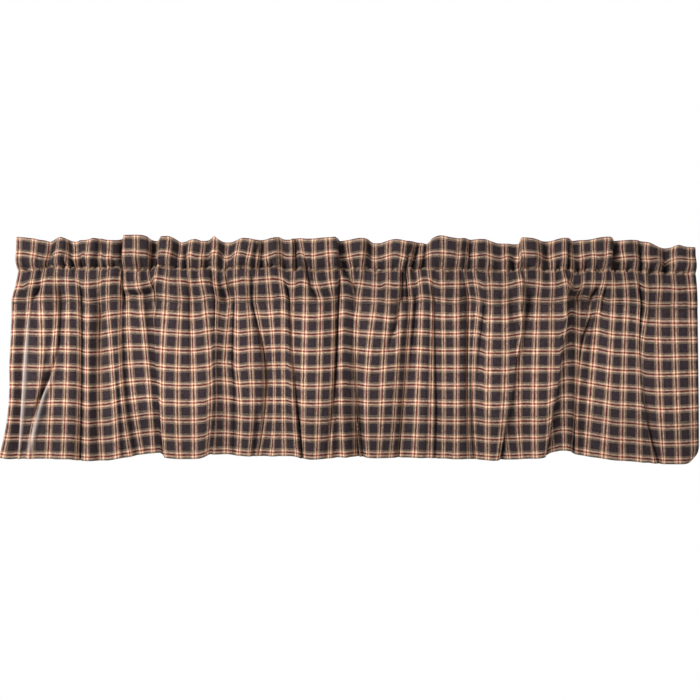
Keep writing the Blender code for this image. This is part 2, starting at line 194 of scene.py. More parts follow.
# Every fold of the drop, left to right. cloth: where the fold lies on the flat cloth at the lower
# seam, in checks. slant: how far it has wandered along the cloth by the lower edge, in checks.
# seam, middle, hem: where it stands along the rod, in mm, at the lower seam, at MIDDLE and at LOW.
# seam_depth, hem_depth: how far it stands forward at the lower seam and at the lower edge, in mm.
DROP_COLUMNS = ("cloth", "slant", "seam", "middle", "hem", "seam_depth", "hem_depth")
DROP_FOLDS = (
    (0.88, 0.00, -602, -606, -622, 4, 5),
    (1.20, 0.00, -593, -598, -611, 6, 8),
    (1.75, 0.00, -577, -584, -592, 0, 1),
    (2.12, 0.00, -569, -577, -585, 6, 14),
    (2.65, -0.30, -560, -563, -580, 2, 12),
    (3.40, -1.00, -539, -548, -578, 4, 12),
    (4.20, -1.70, -519, -540, -577, -2, 12),
    (4.60, -1.65, -510, -529, -562, 0, 16),
    (5.40, 0.00, -494, -493, -497, 9, 16),
    (6.08, 0.00, -481, -480, -483, 4, 7),
    (6.62, 0.00, -475, -475, -478, 1, 2),
    (7.20, 0.00, -464, -464, -463, 5, 10),
    (8.00, 0.00, -448, -449, -444, -6, -3),
    (8.50, 0.00, -440, -437, -430, -3, 0),
    (9.00, 0.00, -431, -422, -414, 5, 8),
    (9.45, 0.00, -423, -416, -404, 7, 5),
    (10.00, 0.00, -409, -409, -393, -2, 7),
    (10.50, 0.00, -403, -401, -383, -6, 0),
    (11.00, 0.00, -397, -392, -373, 1, 4),
    (11.60, 0.00, -382, -373, -360, 4, 0),
    (12.00, 0.00, -371, -361, -351, 5, 4),
    (12.50, 0.00, -362, -352, -342, 0, 0),
    (13.25, 0.40, -341, -326, -316, -4, -9),
    (13.94, 0.92, -350, -345, -332, 5, 8),
    (15.60, 0.00, -310, -316, -314, 8, 14),
    (16.80, 0.00, -286, -284, -281, 5, 12),
    (17.50, 0.00, -271, -264, -263, 8, 15),
    (18.35, 0.00, -249, -243, -248, 6, 7),
    (19.30, 0.00, -231, -238, -239, 0, 2),
    (20.30, 0.00, -210, -217, -215, -6, -6),
    (20.75, 0.00, -206, -208, -205, 2, 0),
    (21.50, 0.00, -191, -189, -188, 7, 8),
    (22.30, 0.80, -177, -161, -161, 4, 3),
    (22.75, 0.70, -173, -152, -152, -1, -4),
    (24.50, 0.00, -130, -128, -129, 1, -1),
    (25.35, 1.00, -112, -106, -91, 3, 2),
    (25.80, 1.00, -107, -99, -86, -1, -3),
    (26.50, 0.70, -92, -88, -80, 1, 0),
    (27.50, 0.00, -66, -68, -71, 8, 14),
    (29.00, 0.00, -29, -31, -36, 0, 7),
    (29.75, 0.00, -20, -21, -20, -3, -4),
    (30.40, 0.00, -6, -10, -5, 3, 6),
    (31.00, 0.35, 13, 13, 15, -4, -8),
    (31.69, 0.10, 6, 6, 17, 0, 1),
    (32.20, 0.05, 20, 14, 21, 3, -9),
    (33.00, 0.00, 43, 31, 31, 8, 10),
    (34.80, -0.80, 84, 72, 53, 7, 8),
    (35.40, -0.10, 96, 91, 79, 2, 0),
    (36.00, 0.00, 108, 100, 89, -4, -5),
    (36.50, 0.00, 117, 111, 102, -4, -5),
    (37.50, 0.00, 137, 134, 129, 5, 7),
    (38.00, 0.00, 147, 145, 142, 0, 2),
    (38.40, 0.00, 155, 155, 154, 2, 3),
    (39.50, 0.00, 175, 177, 176, 3, 5),
    (40.00, 0.00, 189, 189, 188, 5, 7),
    (40.40, 0.00, 200, 199, 199, 3, 6),
    (41.10, 0.00, 215, 212, 213, -5, -2),
    (42.00, 0.00, 228, 220, 224, 3, -7),
    (42.45, 0.00, 236, 231, 233, 6, -5),
    (43.50, 0.00, 262, 260, 254, 8, 13),
    (44.40, -0.58, 286, 280, 260, 5, 12),
    (45.20, -1.10, 309, 297, 268, 9, 10),
    (45.75, -1.15, 302, 287, 275, 5, 2),
    (46.45, 0.00, 319, 314, 314, 3, 0),
    (47.50, 0.00, 346, 343, 341, 6, 11),
    (48.40, -0.58, 368, 361, 347, 6, 9),
    (49.20, -1.10, 388, 376, 351, 9, 9),
    (49.80, -1.10, 378, 367, 358, 1, -6),
    (50.50, 0.00, 395, 397, 393, -2, -7),
    (51.30, 0.00, 416, 412, 402, -9, -19),
    (52.30, -0.80, 435, 414, 404, -9, -16),
    (52.70, -0.80, 440, 418, 406, -5, -12),
    (53.05, -0.40, 446, 432, 418, -8, -16),
    (53.40, 0.00, 454, 446, 434, 1, -2),
    (54.60, 0.00, 482, 476, 471, 4, 9),
    (56.05, 1.00, 515, 517, 540, 4, 6),
    (56.60, 0.85, 522, 518, 549, 1, 0),
    (58.00, 0.00, 548, 550, 557, 2, 4),
    (59.20, 0.00, 583, 585, 589, 4, 6),
    (60.40, 0.00, 619, 621, 622, 0, 0),
)

# Where the cloth swings out only in the lower part of the drop. cloth, reach: where and how far to
# either side, in checks. shift: how far it stands to the right there, in mm, at the most.
LATE_SWINGS = (
    # cloth, reach, shift
    (0.88, 0.9, 5.0),
    (20.6, 2.2, 5.0),
)


def by_column(names, rows):
    """The columns of a table by name, each as an array."""
    return {name: np.array(values, float) for name, values in zip(names, zip(*rows))}


def ease(value, low, high):
    """0 below low, 1 above high and a smooth rise between."""
    t = np.clip((np.asarray(value, float) - low) / (high - low), 0, 1)
    return t * t * (3 - 2 * t)


def through(places, values, at):
    """A smooth curve through values at places, which never swings past them."""
    step = np.diff(places)
    rise = np.diff(values) / step
    slope = np.empty(len(values))
    slope[0], slope[-1] = rise[0], rise[-1]
    same_way = rise[:-1] * rise[1:] > 0
    before = 2 * step[1:] + step[:-1]
    after = step[1:] + 2 * step[:-1]
    safe_left = np.where(same_way, rise[:-1], 1)
    safe_right = np.where(same_way, rise[1:], 1)
    mean = (before + after) / (before / safe_left + after / safe_right)
    slope[1:-1] = np.where(same_way, mean, 0)
    i = np.clip(np.searchsorted(places, at) - 1, 0, len(step) - 1)
    t = (at - places[i]) / step[i]
    return (
        values[i] * (2 * t**3 - 3 * t**2 + 1)
        + slope[i] * step[i] * (t**3 - 2 * t**2 + t)
        + values[i + 1] * (3 * t**2 - 2 * t**3)
        + slope[i + 1] * step[i] * (t**3 - t**2)
    )


def soften(values, width):
    """Rounds a row of evenly spaced values over width, in checks, and keeps its two ends."""
    reach = max(1, int(round(2.5 * width / FINE_STEP)))
    offsets = np.arange(-reach, reach + 1)
    weights = np.exp(-0.5 * (offsets * FINE_STEP / width) ** 2)
    padded = np.concatenate(
        [
            2 * values[0] - values[reach:0:-1],
            values,
            2 * values[-1] - values[-2 : -reach - 2 : -1],
        ]
    )
    return np.convolve(padded, weights / weights.sum(), mode="valid")


CLOTH = np.arange(LEFT_EDGE, RIGHT_EDGE + FINE_STEP / 2, FINE_STEP)

RUFFLE_AT = by_column(RUFFLE_COLUMNS, RUFFLE_FOLDS)
DROP_AT = by_column(DROP_COLUMNS, DROP_FOLDS)


def ruffle_line(down):
    """Where the cloth stands at a height of the ruffle: along the rod and forward, in metres."""
    share = np.clip(down / RUFFLE, 0, 1)
    puff = 1 - share**3
    place = RUFFLE_AT["top"] * (1 - share) + RUFFLE_AT["seam"] * share
    along = through(RUFFLE_AT["cloth"], place, CLOTH)
    depth = np.where(RUFFLE_AT["depth"] < 0, DIP_DEPTH, 1.0) * RUFFLE_AT["depth"]
    forward = through(RUFFLE_AT["cloth"], depth * (0.15 + 0.85 * puff), CLOTH)
    return along * MM, forward * MM


def drop_line(down):
    """Where the cloth stands at a height of the drop: along the rod and forward, in metres."""
    share = np.clip((down - SEAM_2) / DROP, 0, 1)
    at_seam = (LOW - share) * (MIDDLE - share) / (MIDDLE * LOW)
    at_middle = share * (LOW - share) / (MIDDLE * (LOW - MIDDLE))
    at_hem = share * (share - MIDDLE) / (LOW * (LOW - MIDDLE))
    place = DROP_AT["seam"] * at_seam + DROP_AT["middle"] * at_middle + DROP_AT["hem"] * at_hem
    opening = 1 - (1 - share) ** 1.6
    deepening = (DROP_AT["hem_depth"] - DROP_AT["seam_depth"]) * opening
    depth = DROP_DEPTH * (DROP_AT["seam_depth"] + deepening)
    where = DROP_AT["cloth"] + DROP_AT["slant"] * share
    along = through(where, place, CLOTH)
    late = math.sin(math.pi * float(np.clip((share - MIDDLE) / (1 - MIDDLE), 0, 1)))
    for cloth, reach, shift in LATE_SWINGS:
        along += shift * late * np.exp(-(((CLOTH - cloth) / reach) ** 2))
    return along * MM, through(where, depth, CLOTH) * MM


def opened(along):
    """The same folds with none lapped over the next, as a line of stitches holds them."""
    from_left = np.maximum.accumulate(along)
    from_right = np.minimum.accumulate(along[::-1])[::-1]
    return (from_left + from_right) / 2


def fold_line(down):
    """The folds at a distance below the top fold, in checks, rounded and held in at the seams."""
    lower = float(ease(down, SEAM_1 + 0.2, SEAM_2 - 0.1))
    upper_along, upper_forward = ruffle_line(down)
    lower_along, lower_forward = drop_line(down)
    along = upper_along + (lower_along - upper_along) * lower
    forward = upper_forward + (lower_forward - upper_forward) * lower
    from_seams = min(abs(down - SEAM_1), abs(down - SEAM_2))
    in_pocket = SEAM_1 < down < SEAM_2
    free = 0.0 if in_pocket else float(ease(from_seams, 0.0, SEAM_REACH))
    along = opened(along) + (along - opened(along)) * free
    width = FREE_ROUNDING + HELD_ROUNDING * (1 - free)
    return soften(along, width), soften(forward, width)


# How high the stripes that lie level on the flat cloth stand once it is gathered, left to right.
# along: the place along the rod, in mm. top, first, seam, third, fourth: how far the top edge, the
# ruffle's stripe, the upper seam and the pocket's two stripes stand there above their even heights,
# in mm.
STRIPE_COLUMNS = ("along", "top", "first", "seam", "third", "fourth")
STRIPE_HEIGHTS = (
    (-594, 5, 0, -2, -9, 1),
    (-579, 4, 0, -3, -8, 1),
    (-571, 3, -1, -3, -3, 2),
    (-562, 2, -3, 1, -3, 3),
    (-553, 0, -5, -2, -1, 4),
    (-544, -1, -7, 1, 1, 4),
    (-535, -3, -7, 5, 2, 4),
    (-526, 2, 0, 2, 2, 4),
    (-517, 5, 2, 1, 2, 4),
    (-508, 3, 1, 2, 2, 5),
    (-499, -1, -3, 1, 1, 5),
    (-490, -3, -5, 1, 1, 4),
    (-481, 0, -3, 1, -2, 4),
    (-476, 0, 0, 1, -4, 0),
    (-467, 1, -2, -1, -4, -2),
    (-455, 3, -2, 1, -3, -1),
    (-446, 3, -2, -1, -1, 1),
    (-437, 1, -5, 0, 2, 2),
    (-428, 0, -5, 3, 2, 3),
    (-419, 0, -6, 3, 3, 4),
    (-410, 2, -5, 1, 3, 4),
    (-403, 8, 2, -2, -8, 2),
    (-387, 8, 2, -2, -8, 6),
    (-374, 8, 1, -2, -7, 5),
    (-362, 6, 0, -2, -4, 5),
    (-355, 1, -3, -1, -2, 7),
    (-346, -1, -4, 5, 7, 7),
    (-335, 6, 2, 2, 6, 6),
    (-323, 6, 1, 0, 3, 5),
    (-312, 2, -3, 0, 2, 3),
    (-301, -4, -6, -1, 2, 3),
    (-292, -2, -4, -2, 1, 2),
    (-285, 0, -1, -1, -1, 2),
    (-275, 1, -4, -2, -1, 2),
    (-264, -2, -5, 1, 0, 3),
    (-253, -1, -4, 2, 0, 6),
    (-242, 6, 2, 0, -4, 7),
    (-235, 1, 2, -3, -6, 2),
    (-223, -4, -8, -3, -3, 0),
    (-214, -4, -7, 0, -1, 2),
    (-201, 0, 1, 1, 1, 3),
    (-191, 3, 0, 3, 3, 2),
    (-178, 2, -3, 1, 3, 3),
    (-166, 0, -4, 0, 4, 4),
    (-152, 1, -5, 0, 5, 4),
    (-139, 3, -2, 2, 6, 4),
    (-127, 5, 1, 2, 5, 6),
    (-118, 1, -2, -3, 2, 6),
    (-107, 0, -5, -3, -4, 1),
    (-100, 3, -4, -2, -4, 1),
    (-89, 3, 1, -1, 0, 2),
    (-78, 2, -3, 0, -2, 1),
    (-66, 2, -4, -3, -6, 1),
    (-53, 3, -2, -4, -6, 1),
    (-36, 4, 1, -2, -3, 2),
    (-23, 5, 1, -2, -2, 4),
    (-18, -1, -6, 0, 4, 6),
    (-5, 0, -5, -2, 3, 6),
    (2, 1, -4, 0, -1, 4),
    (18, 3, -2, -2, -3, 1),
    (29, 3, -2, 0, -5, 1),
    (43, -5, -9, -4, -7, 0),
    (53, -5, -8, -4, -8, 0),
    (64, -2, -5, -3, -4, -2),
    (80, 1, -2, -2, -6, -2),
    (91, 0, -5, -3, -6, 1),
    (100, -2, -7, -2, -6, 2),
    (107, -2, -4, 1, -4, 1),
    (116, -3, -7, -4, -3, 2),
    (127, -4, -4, -1, 3, 5),
    (137, -6, 0, -1, 4, 4),
    (148, 3, 1, -2, -1, 3),
    (160, 7, 1, -2, -5, 1),
    (178, 4, 0, -3, -4, -1),
    (194, 2, -3, -2, -4, -1),
    (205, 3, -1, -3, -3, 2),
    (216, 1, -4, -4, -1, 3),
    (226, 1, -4, -1, -2, 1),
    (239, 1, -2, -4, -7, -2),
    (250, -2, -5, -4, -6, -4),
    (267, -6, -8, -4, -7, -4),
    (283, -6, -4, -5, -5, -2),
    (294, -7, -7, -3, -2, 0),
    (303, -6, -9, -3, 0, 1),
    (306, 4, 1, -2, 0, 1),
    (321, 3, 0, 0, -2, 0),
    (332, 1, -1, 0, -3, 0),
    (346, -2, -6, -5, -5, -1),
    (357, -2, -7, -5, -5, -1),
    (369, 1, -4, -4, -4, 0),
    (382, 3, -2, 0, 0, 2),
    (390, 3, -3, -2, -3, 3),
    (399, -1, -6, -8, -12, 6),
    (410, 0, -6, -7, -10, 6),
    (417, 0, -4, -5, -4, 6),
    (430, 1, -2, -3, -4, 3),
    (446, 4, -3, -5, -4, 5),
    (462, 5, 0, -1, -5, -2),
    (471, -1, -7, -6, -5, -1),
    (487, -1, -6, -6, -4, -1),
    (503, 0, -5, -4, -3, -2),
    (514, 0, -6, -6, -4, -3),
    (522, -2, -8, -6, -9, -5),
    (531, -4, -10, -9, -11, -8),
    (547, -11, -8, -7, -11, -8),
    (556, -13, -12, -8, -11, -8),
    (565, -14, -16, -8, -11, -8),
    (574, -13, -11, -8, -12, -7),
    (585, -9, -9, -8, -13, -7),
    (597, -12, -10, -8, -12, -7),
    (617, -13, -11, -8, -11, -8),
)

# The same for the drop: the fifth, eighth and eleventh stripes from the top edge, and the lower edge.
LOWER_COLUMNS = ("along", "fifth", "eighth", "eleventh", "edge")
LOWER_HEIGHTS = (
    (-620, -1, -1, -2, 0),
    (-603, -1, -1, -2, -2),
    (-588, 0, -1, -3, -1),
    (-574, 0, -1, -4, 0),
    (-553, -1, -2, -2, 0),
    (-531, -1, -1, -2, 0),
    (-517, 0, 0, -2, -1),
    (-499, 0, -1, -2, -1),
    (-483, -1, -2, -4, -4),
    (-476, -4, -5, -7, -5),
    (-465, -5, -6, -8, -5),
    (-451, -4, -6, -7, -5),
    (-435, -2, -4, -6, -5),
    (-421, 0, -2, -3, -3),
    (-412, 1, 0, 0, -1),
    (-405, 3, 3, 1, 0),
    (-392, 3, 4, 3, 2),
    (-378, 1, 5, 5, 5),
    (-364, 1, 5, 7, 7),
    (-353, 2, 3, 8, 8),
    (-342, 1, 0, 8, 9),
    (-337, 1, 0, 3, 8),
    (-332, 0, -1, -1, 2),
    (-317, -1, -2, -1, 0),
    (-300, -2, -3, -2, -1),
    (-282, -3, -3, -2, -1),
    (-267, -2, -2, -1, 0),
    (-257, 1, -1, 0, 3),
    (-248, 2, 0, 5, 7),
    (-242, 2, 5, 5, 6),
    (-235, 1, 6, 5, 6),
    (-221, -2, 5, 4, 6),
    (-212, 1, 4, 3, 5),
    (-207, 0, 0, 3, 4),
    (-196, -2, -1, 2, 4),
    (-178, 0, 1, 1, 3),
    (-166, 1, 1, 1, 3),
    (-153, 0, 1, 1, 3),
    (-139, 1, 2, 1, 2),
    (-125, 2, 2, 1, 3),
    (-112, 0, 2, 1, 3),
    (-105, -2, -2, 0, 3),
    (-93, -3, -3, -1, 1),
    (-84, -4, -4, -3, -2),
    (-68, -5, -4, -3, -2),
    (-46, -3, -3, -3, -1),
    (-29, -1, -2, -1, 0),
    (-20, 1, 0, 0, 1),
    (-9, 2, 1, 0, 1),
    (2, 0, -1, 0, 2),
    (14, -2, -2, 0, 2),
    (29, -3, -4, -1, 1),
    (46, -4, -5, -1, 0),
    (61, -6, -3, -1, 0),
    (73, -7, -2, -1, 0),
    (82, -6, -1, -1, 0),
    (87, -2, -1, -2, 0),
    (98, -1, -1, -2, 0),
    (118, 0, -1, -2, 0),
    (137, -1, -2, -2, 0),
    (153, -3, -3, -3, -1),
    (169, -4, -3, -4, -1),
    (187, -4, -3, -4, -2),
    (205, -2, -3, -4, -2),
    (223, -2, -3, -4, -3),
    (234, -5, -4, -5, -4),
    (242, -8, -7, -6, -4),
    (259, -8, -7, -6, -4),
    (276, -8, -7, -5, -3),
    (292, -6, -5, -5, -3),
    (310, -3, -4, -4, -2),
    (330, -4, -4, -4, -1),
    (348, -4, -4, -3, 2),
    (358, -4, -4, 2, 8),
    (371, -4, -4, 8, 11),
    (376, -4, 2, 9, 12),
    (385, -1, 6, 9, 12),
    (396, 5, 7, 8, 10),
    (405, 3, 7, 4, 5),
    (415, 1, 4, 3, 3),
    (430, 1, 1, 1, 1),
    (442, 3, -1, -1, 0),
    (456, -2, -4, -3, -2),
    (472, -5, -6, -6, -4),
    (492, -6, -7, -7, -5),
    (514, -9, -8, -9, -7),
    (521, -12, -10, -10, -8),
    (528, -13, -13, -11, -8),
    (544, -14, -14, -13, -10),
    (562, -15, -14, -14, -11),
    (588, -15, -13, -13, -11),
    (620, -15, -12, -11, -10),
)

# How far below the top edge each of the two tables' stripes lies on the flat cloth, in checks.
STRIPES_DOWN = (0.0, 1.0, 2.0, 3.0, 4.0, 5.0, 8.0, 11.0, LOWER_EDGE)


def risen(down, along):
    """How far each point of a row stands above its even height, in metres."""
    rises = []
    for names, rows in ((STRIPE_COLUMNS, STRIPE_HEIGHTS), (LOWER_COLUMNS, LOWER_HEIGHTS)):
        at = by_column(names, rows)
        rises += [through(at["along"], at[name], along / MM) for name in names[1:]]
    above = min(int(np.searchsorted(STRIPES_DOWN, down, side="right")) - 1, len(STRIPES_DOWN) - 2)
    share = (down - STRIPES_DOWN[above]) / (STRIPES_DOWN[above + 1] - STRIPES_DOWN[above])
    return (rises[above] * (1 - share) + rises[above + 1] * share) * MM


def heights(down, along):
    """Height of each point of a row: level, but for what the seams take up and the stripes' rise."""
    if down <= SEAM_1:
        level = TOP_HEIGHT + (SEAM_HEIGHT - TOP_HEIGHT) * (down / RUFFLE)
    elif down <= SEAM_2:
        share = (down - SEAM_1) / POCKET
        level = POCKET_ROUND * SEAM_HEIGHT * math.cos(math.pi * share)
        level += (1 - POCKET_ROUND) * SEAM_HEIGHT * (1 - 2 * share)
    else:
        level = -SEAM_HEIGHT - (down - SEAM_2) * CHECK * HANG
    from_seam = down - SEAM_1
    level += SEAM_TAKE_UP * from_seam * CHECK * math.exp(-((from_seam / TAKE_UP_REACH) ** 2))
    level -= NEAR_SEAMS * math.exp(-(((down - SEAM_1 + 0.3) / 0.6) ** 2))
    level -= NEAR_SEAMS * math.exp(-(((down - SEAM_2 - 0.7) / 0.7) ** 2))
    return level + risen(down, along)


def bulge(down):
    """How open the pocket is at a height: 0 at its two seams, 1 at WIDEST, and hanging plumb below."""
    share = float(np.clip((down - SEAM_1) / POCKET, 0, 1))
    if share < WIDEST:
        return math.sin(math.pi / 2 * share / WIDEST) ** 0.8
    return 0.5 + 0.5 * math.cos(math.pi * (share - WIDEST) / (1 - WIDEST))


def turned_corner(points):
    """Curls the free lower corner back, past a slanting line near its tip."""
    tip = points[-1, -1].copy()
    past = (points[..., 0] - tip[0] - points[..., 2] + tip[2]) / math.sqrt(2) + CURL_REACH
    bent = np.clip(past, 0, None)
    turn = np.clip(bent / CURL_RADIUS, 0, CURL_TURN)
    straight = bent - turn * CURL_RADIUS
    shift = bent - CURL_RADIUS * np.sin(turn) - straight * np.cos(turn)
    points[..., 0] -= shift / math.sqrt(2)
    points[..., 2] += shift / math.sqrt(2)
    points[..., 1] += CURL_RADIUS * (1 - np.cos(turn)) + straight * np.sin(turn)
    return points


def gathers(seed, pitch):
    """Fine gathers along a row of stitches: an uneven wave across the cloth, from -1 to 1."""
    dice = np.random.default_rng(seed)
    enough = int(60 / pitch / 0.7)
    knots = LEFT_EDGE - 0.5 + np.cumsum(pitch * dice.uniform(0.55, 1.45, enough))
    swings = dice.uniform(0.25, 1.0, enough) * np.where(np.arange(enough) % 2, 1, -1)
    return through(knots, swings, CLOTH)


# Each row of stitches draws up fine gathers on both of its sides. at: the row, in checks down.
# side: above it, -1, or below it, 1. size, in mm, and reach, in checks. seed: for its uneven wave,
# whose gathers lie a pitch apart, in checks, and start at a share of their size.
GATHER_PITCH = 0.45
GATHER_START = 0.25
GATHER_ROWS = (
    # at, side, size, reach, seed
    (SEAM_1, -1, 8.0, 0.40, 3),
    (SEAM_1, 1, 6.0, 0.40, 5),
    (SEAM_2, -1, 4.0, 0.35, 7),
    (SEAM_2, 1, 4.0, 0.50, 7),
)
GATHER_WAVES = [gathers(seed, GATHER_PITCH) for *_, seed in GATHER_ROWS]

# The upper seam: how much of the cloth beside it is taken up, and within what reach, in checks, how
# far the cloth near both seams hangs lower, how deep the upper one's groove lies, and how high and how
# far forward it crinkles.
SEAM_TAKE_UP = 0.4
TAKE_UP_REACH = 0.18
NEAR_SEAMS = 1.1 * MM
SEAM_GROOVE = 0.8 * MM
GROOVE_REACH = 0.09
CRINKLE_HEIGHT = 4.0 * MM
CRINKLE_DEPTH = 4.0 * MM
CRINKLES = (gathers(21, 0.30), gathers(22, 0.24))


def pucker(down):
    """How far the fine gathers along the stitches push the cloth forward, in metres."""
    forward = np.zeros(len(CLOTH))
    for (at, side, size, reach, _), wave in zip(GATHER_ROWS, GATHER_WAVES):
        away = (down - at) * side
        if away >= 0:
            forward += size * MM * (GATHER_START + away / reach) * math.exp(-away / reach) * wave
    return forward


# The narrow tucks that the upper seam draws up in the ruffle, left to right. cloth, down: where each
# starts, in checks. foot: where it meets the seam. depth, in mm, and width, in checks.
TUCKS = (
    # cloth, down, foot, depth, width
    (3.70, 0.2, 3.10, 4, 0.16),
    (4.60, 1.2, 4.75, 8, 0.12),
    (5.45, 1.0, 5.65, 12, 0.20),
    (6.30, 1.0, 6.40, 12, 0.15),
    (6.80, 1.0, 6.85, 8, 0.12),
    (7.60, 1.0, 7.70, 12, 0.30),
    (8.50, 1.2, 8.50, 8, 0.20),
    (9.30, 1.0, 9.35, 10, 0.20),
    (9.90, 0.0, 10.10, 14, 0.20),
    (12.50, 1.2, 12.50, 6, 0.25),
    (13.20, 0.9, 13.30, 14, 0.22),
    (13.95, 0.9, 13.95, 8, 0.12),
    (15.60, 0.3, 15.75, 5, 0.22),
    (16.50, 0.1, 16.60, 7, 0.15),
    (17.30, 1.0, 17.30, 10, 0.28),
    (18.30, 1.0, 18.40, 12, 0.28),
    (19.45, 0.2, 19.55, 6, 0.20),
    (20.20, 1.0, 20.30, 9, 0.20),
    (22.50, 0.0, 22.60, 6, 0.18),
    (23.30, 1.0, 23.40, 9, 0.25),
    (24.35, 1.1, 24.40, 9, 0.22),
    (25.40, 1.1, 25.40, 9, 0.28),
    (26.20, 0.0, 26.30, 9, 0.14),
    (27.20, 0.9, 27.20, 9, 0.16),
    (28.40, 1.2, 28.40, 4, 0.30),
    (29.75, 0.0, 29.90, 10, 0.18),
    (30.40, 1.0, 30.50, 12, 0.20),
    (31.40, 1.1, 31.40, 9, 0.32),
    (32.45, 0.0, 32.50, 6, 0.18),
    (33.50, 1.2, 33.50, 8, 0.25),
    (34.50, 1.2, 34.50, 8, 0.25),
    (35.50, 0.5, 35.45, 6, 0.12),
    (35.65, 1.0, 35.65, 9, 0.13),
    (36.30, 0.2, 36.40, 8, 0.20),
    (37.40, 0.8, 37.50, 14, 0.22),
    (38.60, 1.2, 38.60, 5, 0.28),
    (39.60, 1.0, 39.75, 6, 0.22),
    (40.70, 0.0, 40.70, 4, 0.14),
    (41.40, 0.0, 41.40, 7, 0.16),
    (43.50, 1.1, 43.50, 5, 0.25),
    (44.50, 0.9, 44.80, 14, 0.28),
    (45.40, 0.1, 45.40, 9, 0.14),
    (46.50, 1.2, 46.50, 8, 0.28),
    (47.60, 0.0, 47.60, 9, 0.22),
    (48.50, 1.1, 48.50, 9, 0.22),
    (49.55, 0.0, 49.60, 10, 0.14),
    (50.60, 1.0, 50.70, 9, 0.22),
    (51.40, 1.0, 51.40, 10, 0.30),
    (52.50, 1.1, 52.50, 9, 0.25),
    (53.75, 0.0, 54.10, 9, 0.18),
    (54.60, 1.0, 54.60, 12, 0.22),
    (55.50, 1.1, 55.50, 10, 0.28),
    (56.50, 0.0, 56.60, 10, 0.16),
    (57.50, 1.2, 57.50, 8, 0.25),
    (58.50, 0.8, 58.50, 15, 0.25),
    (59.50, 1.3, 59.50, 6, 0.25),
)

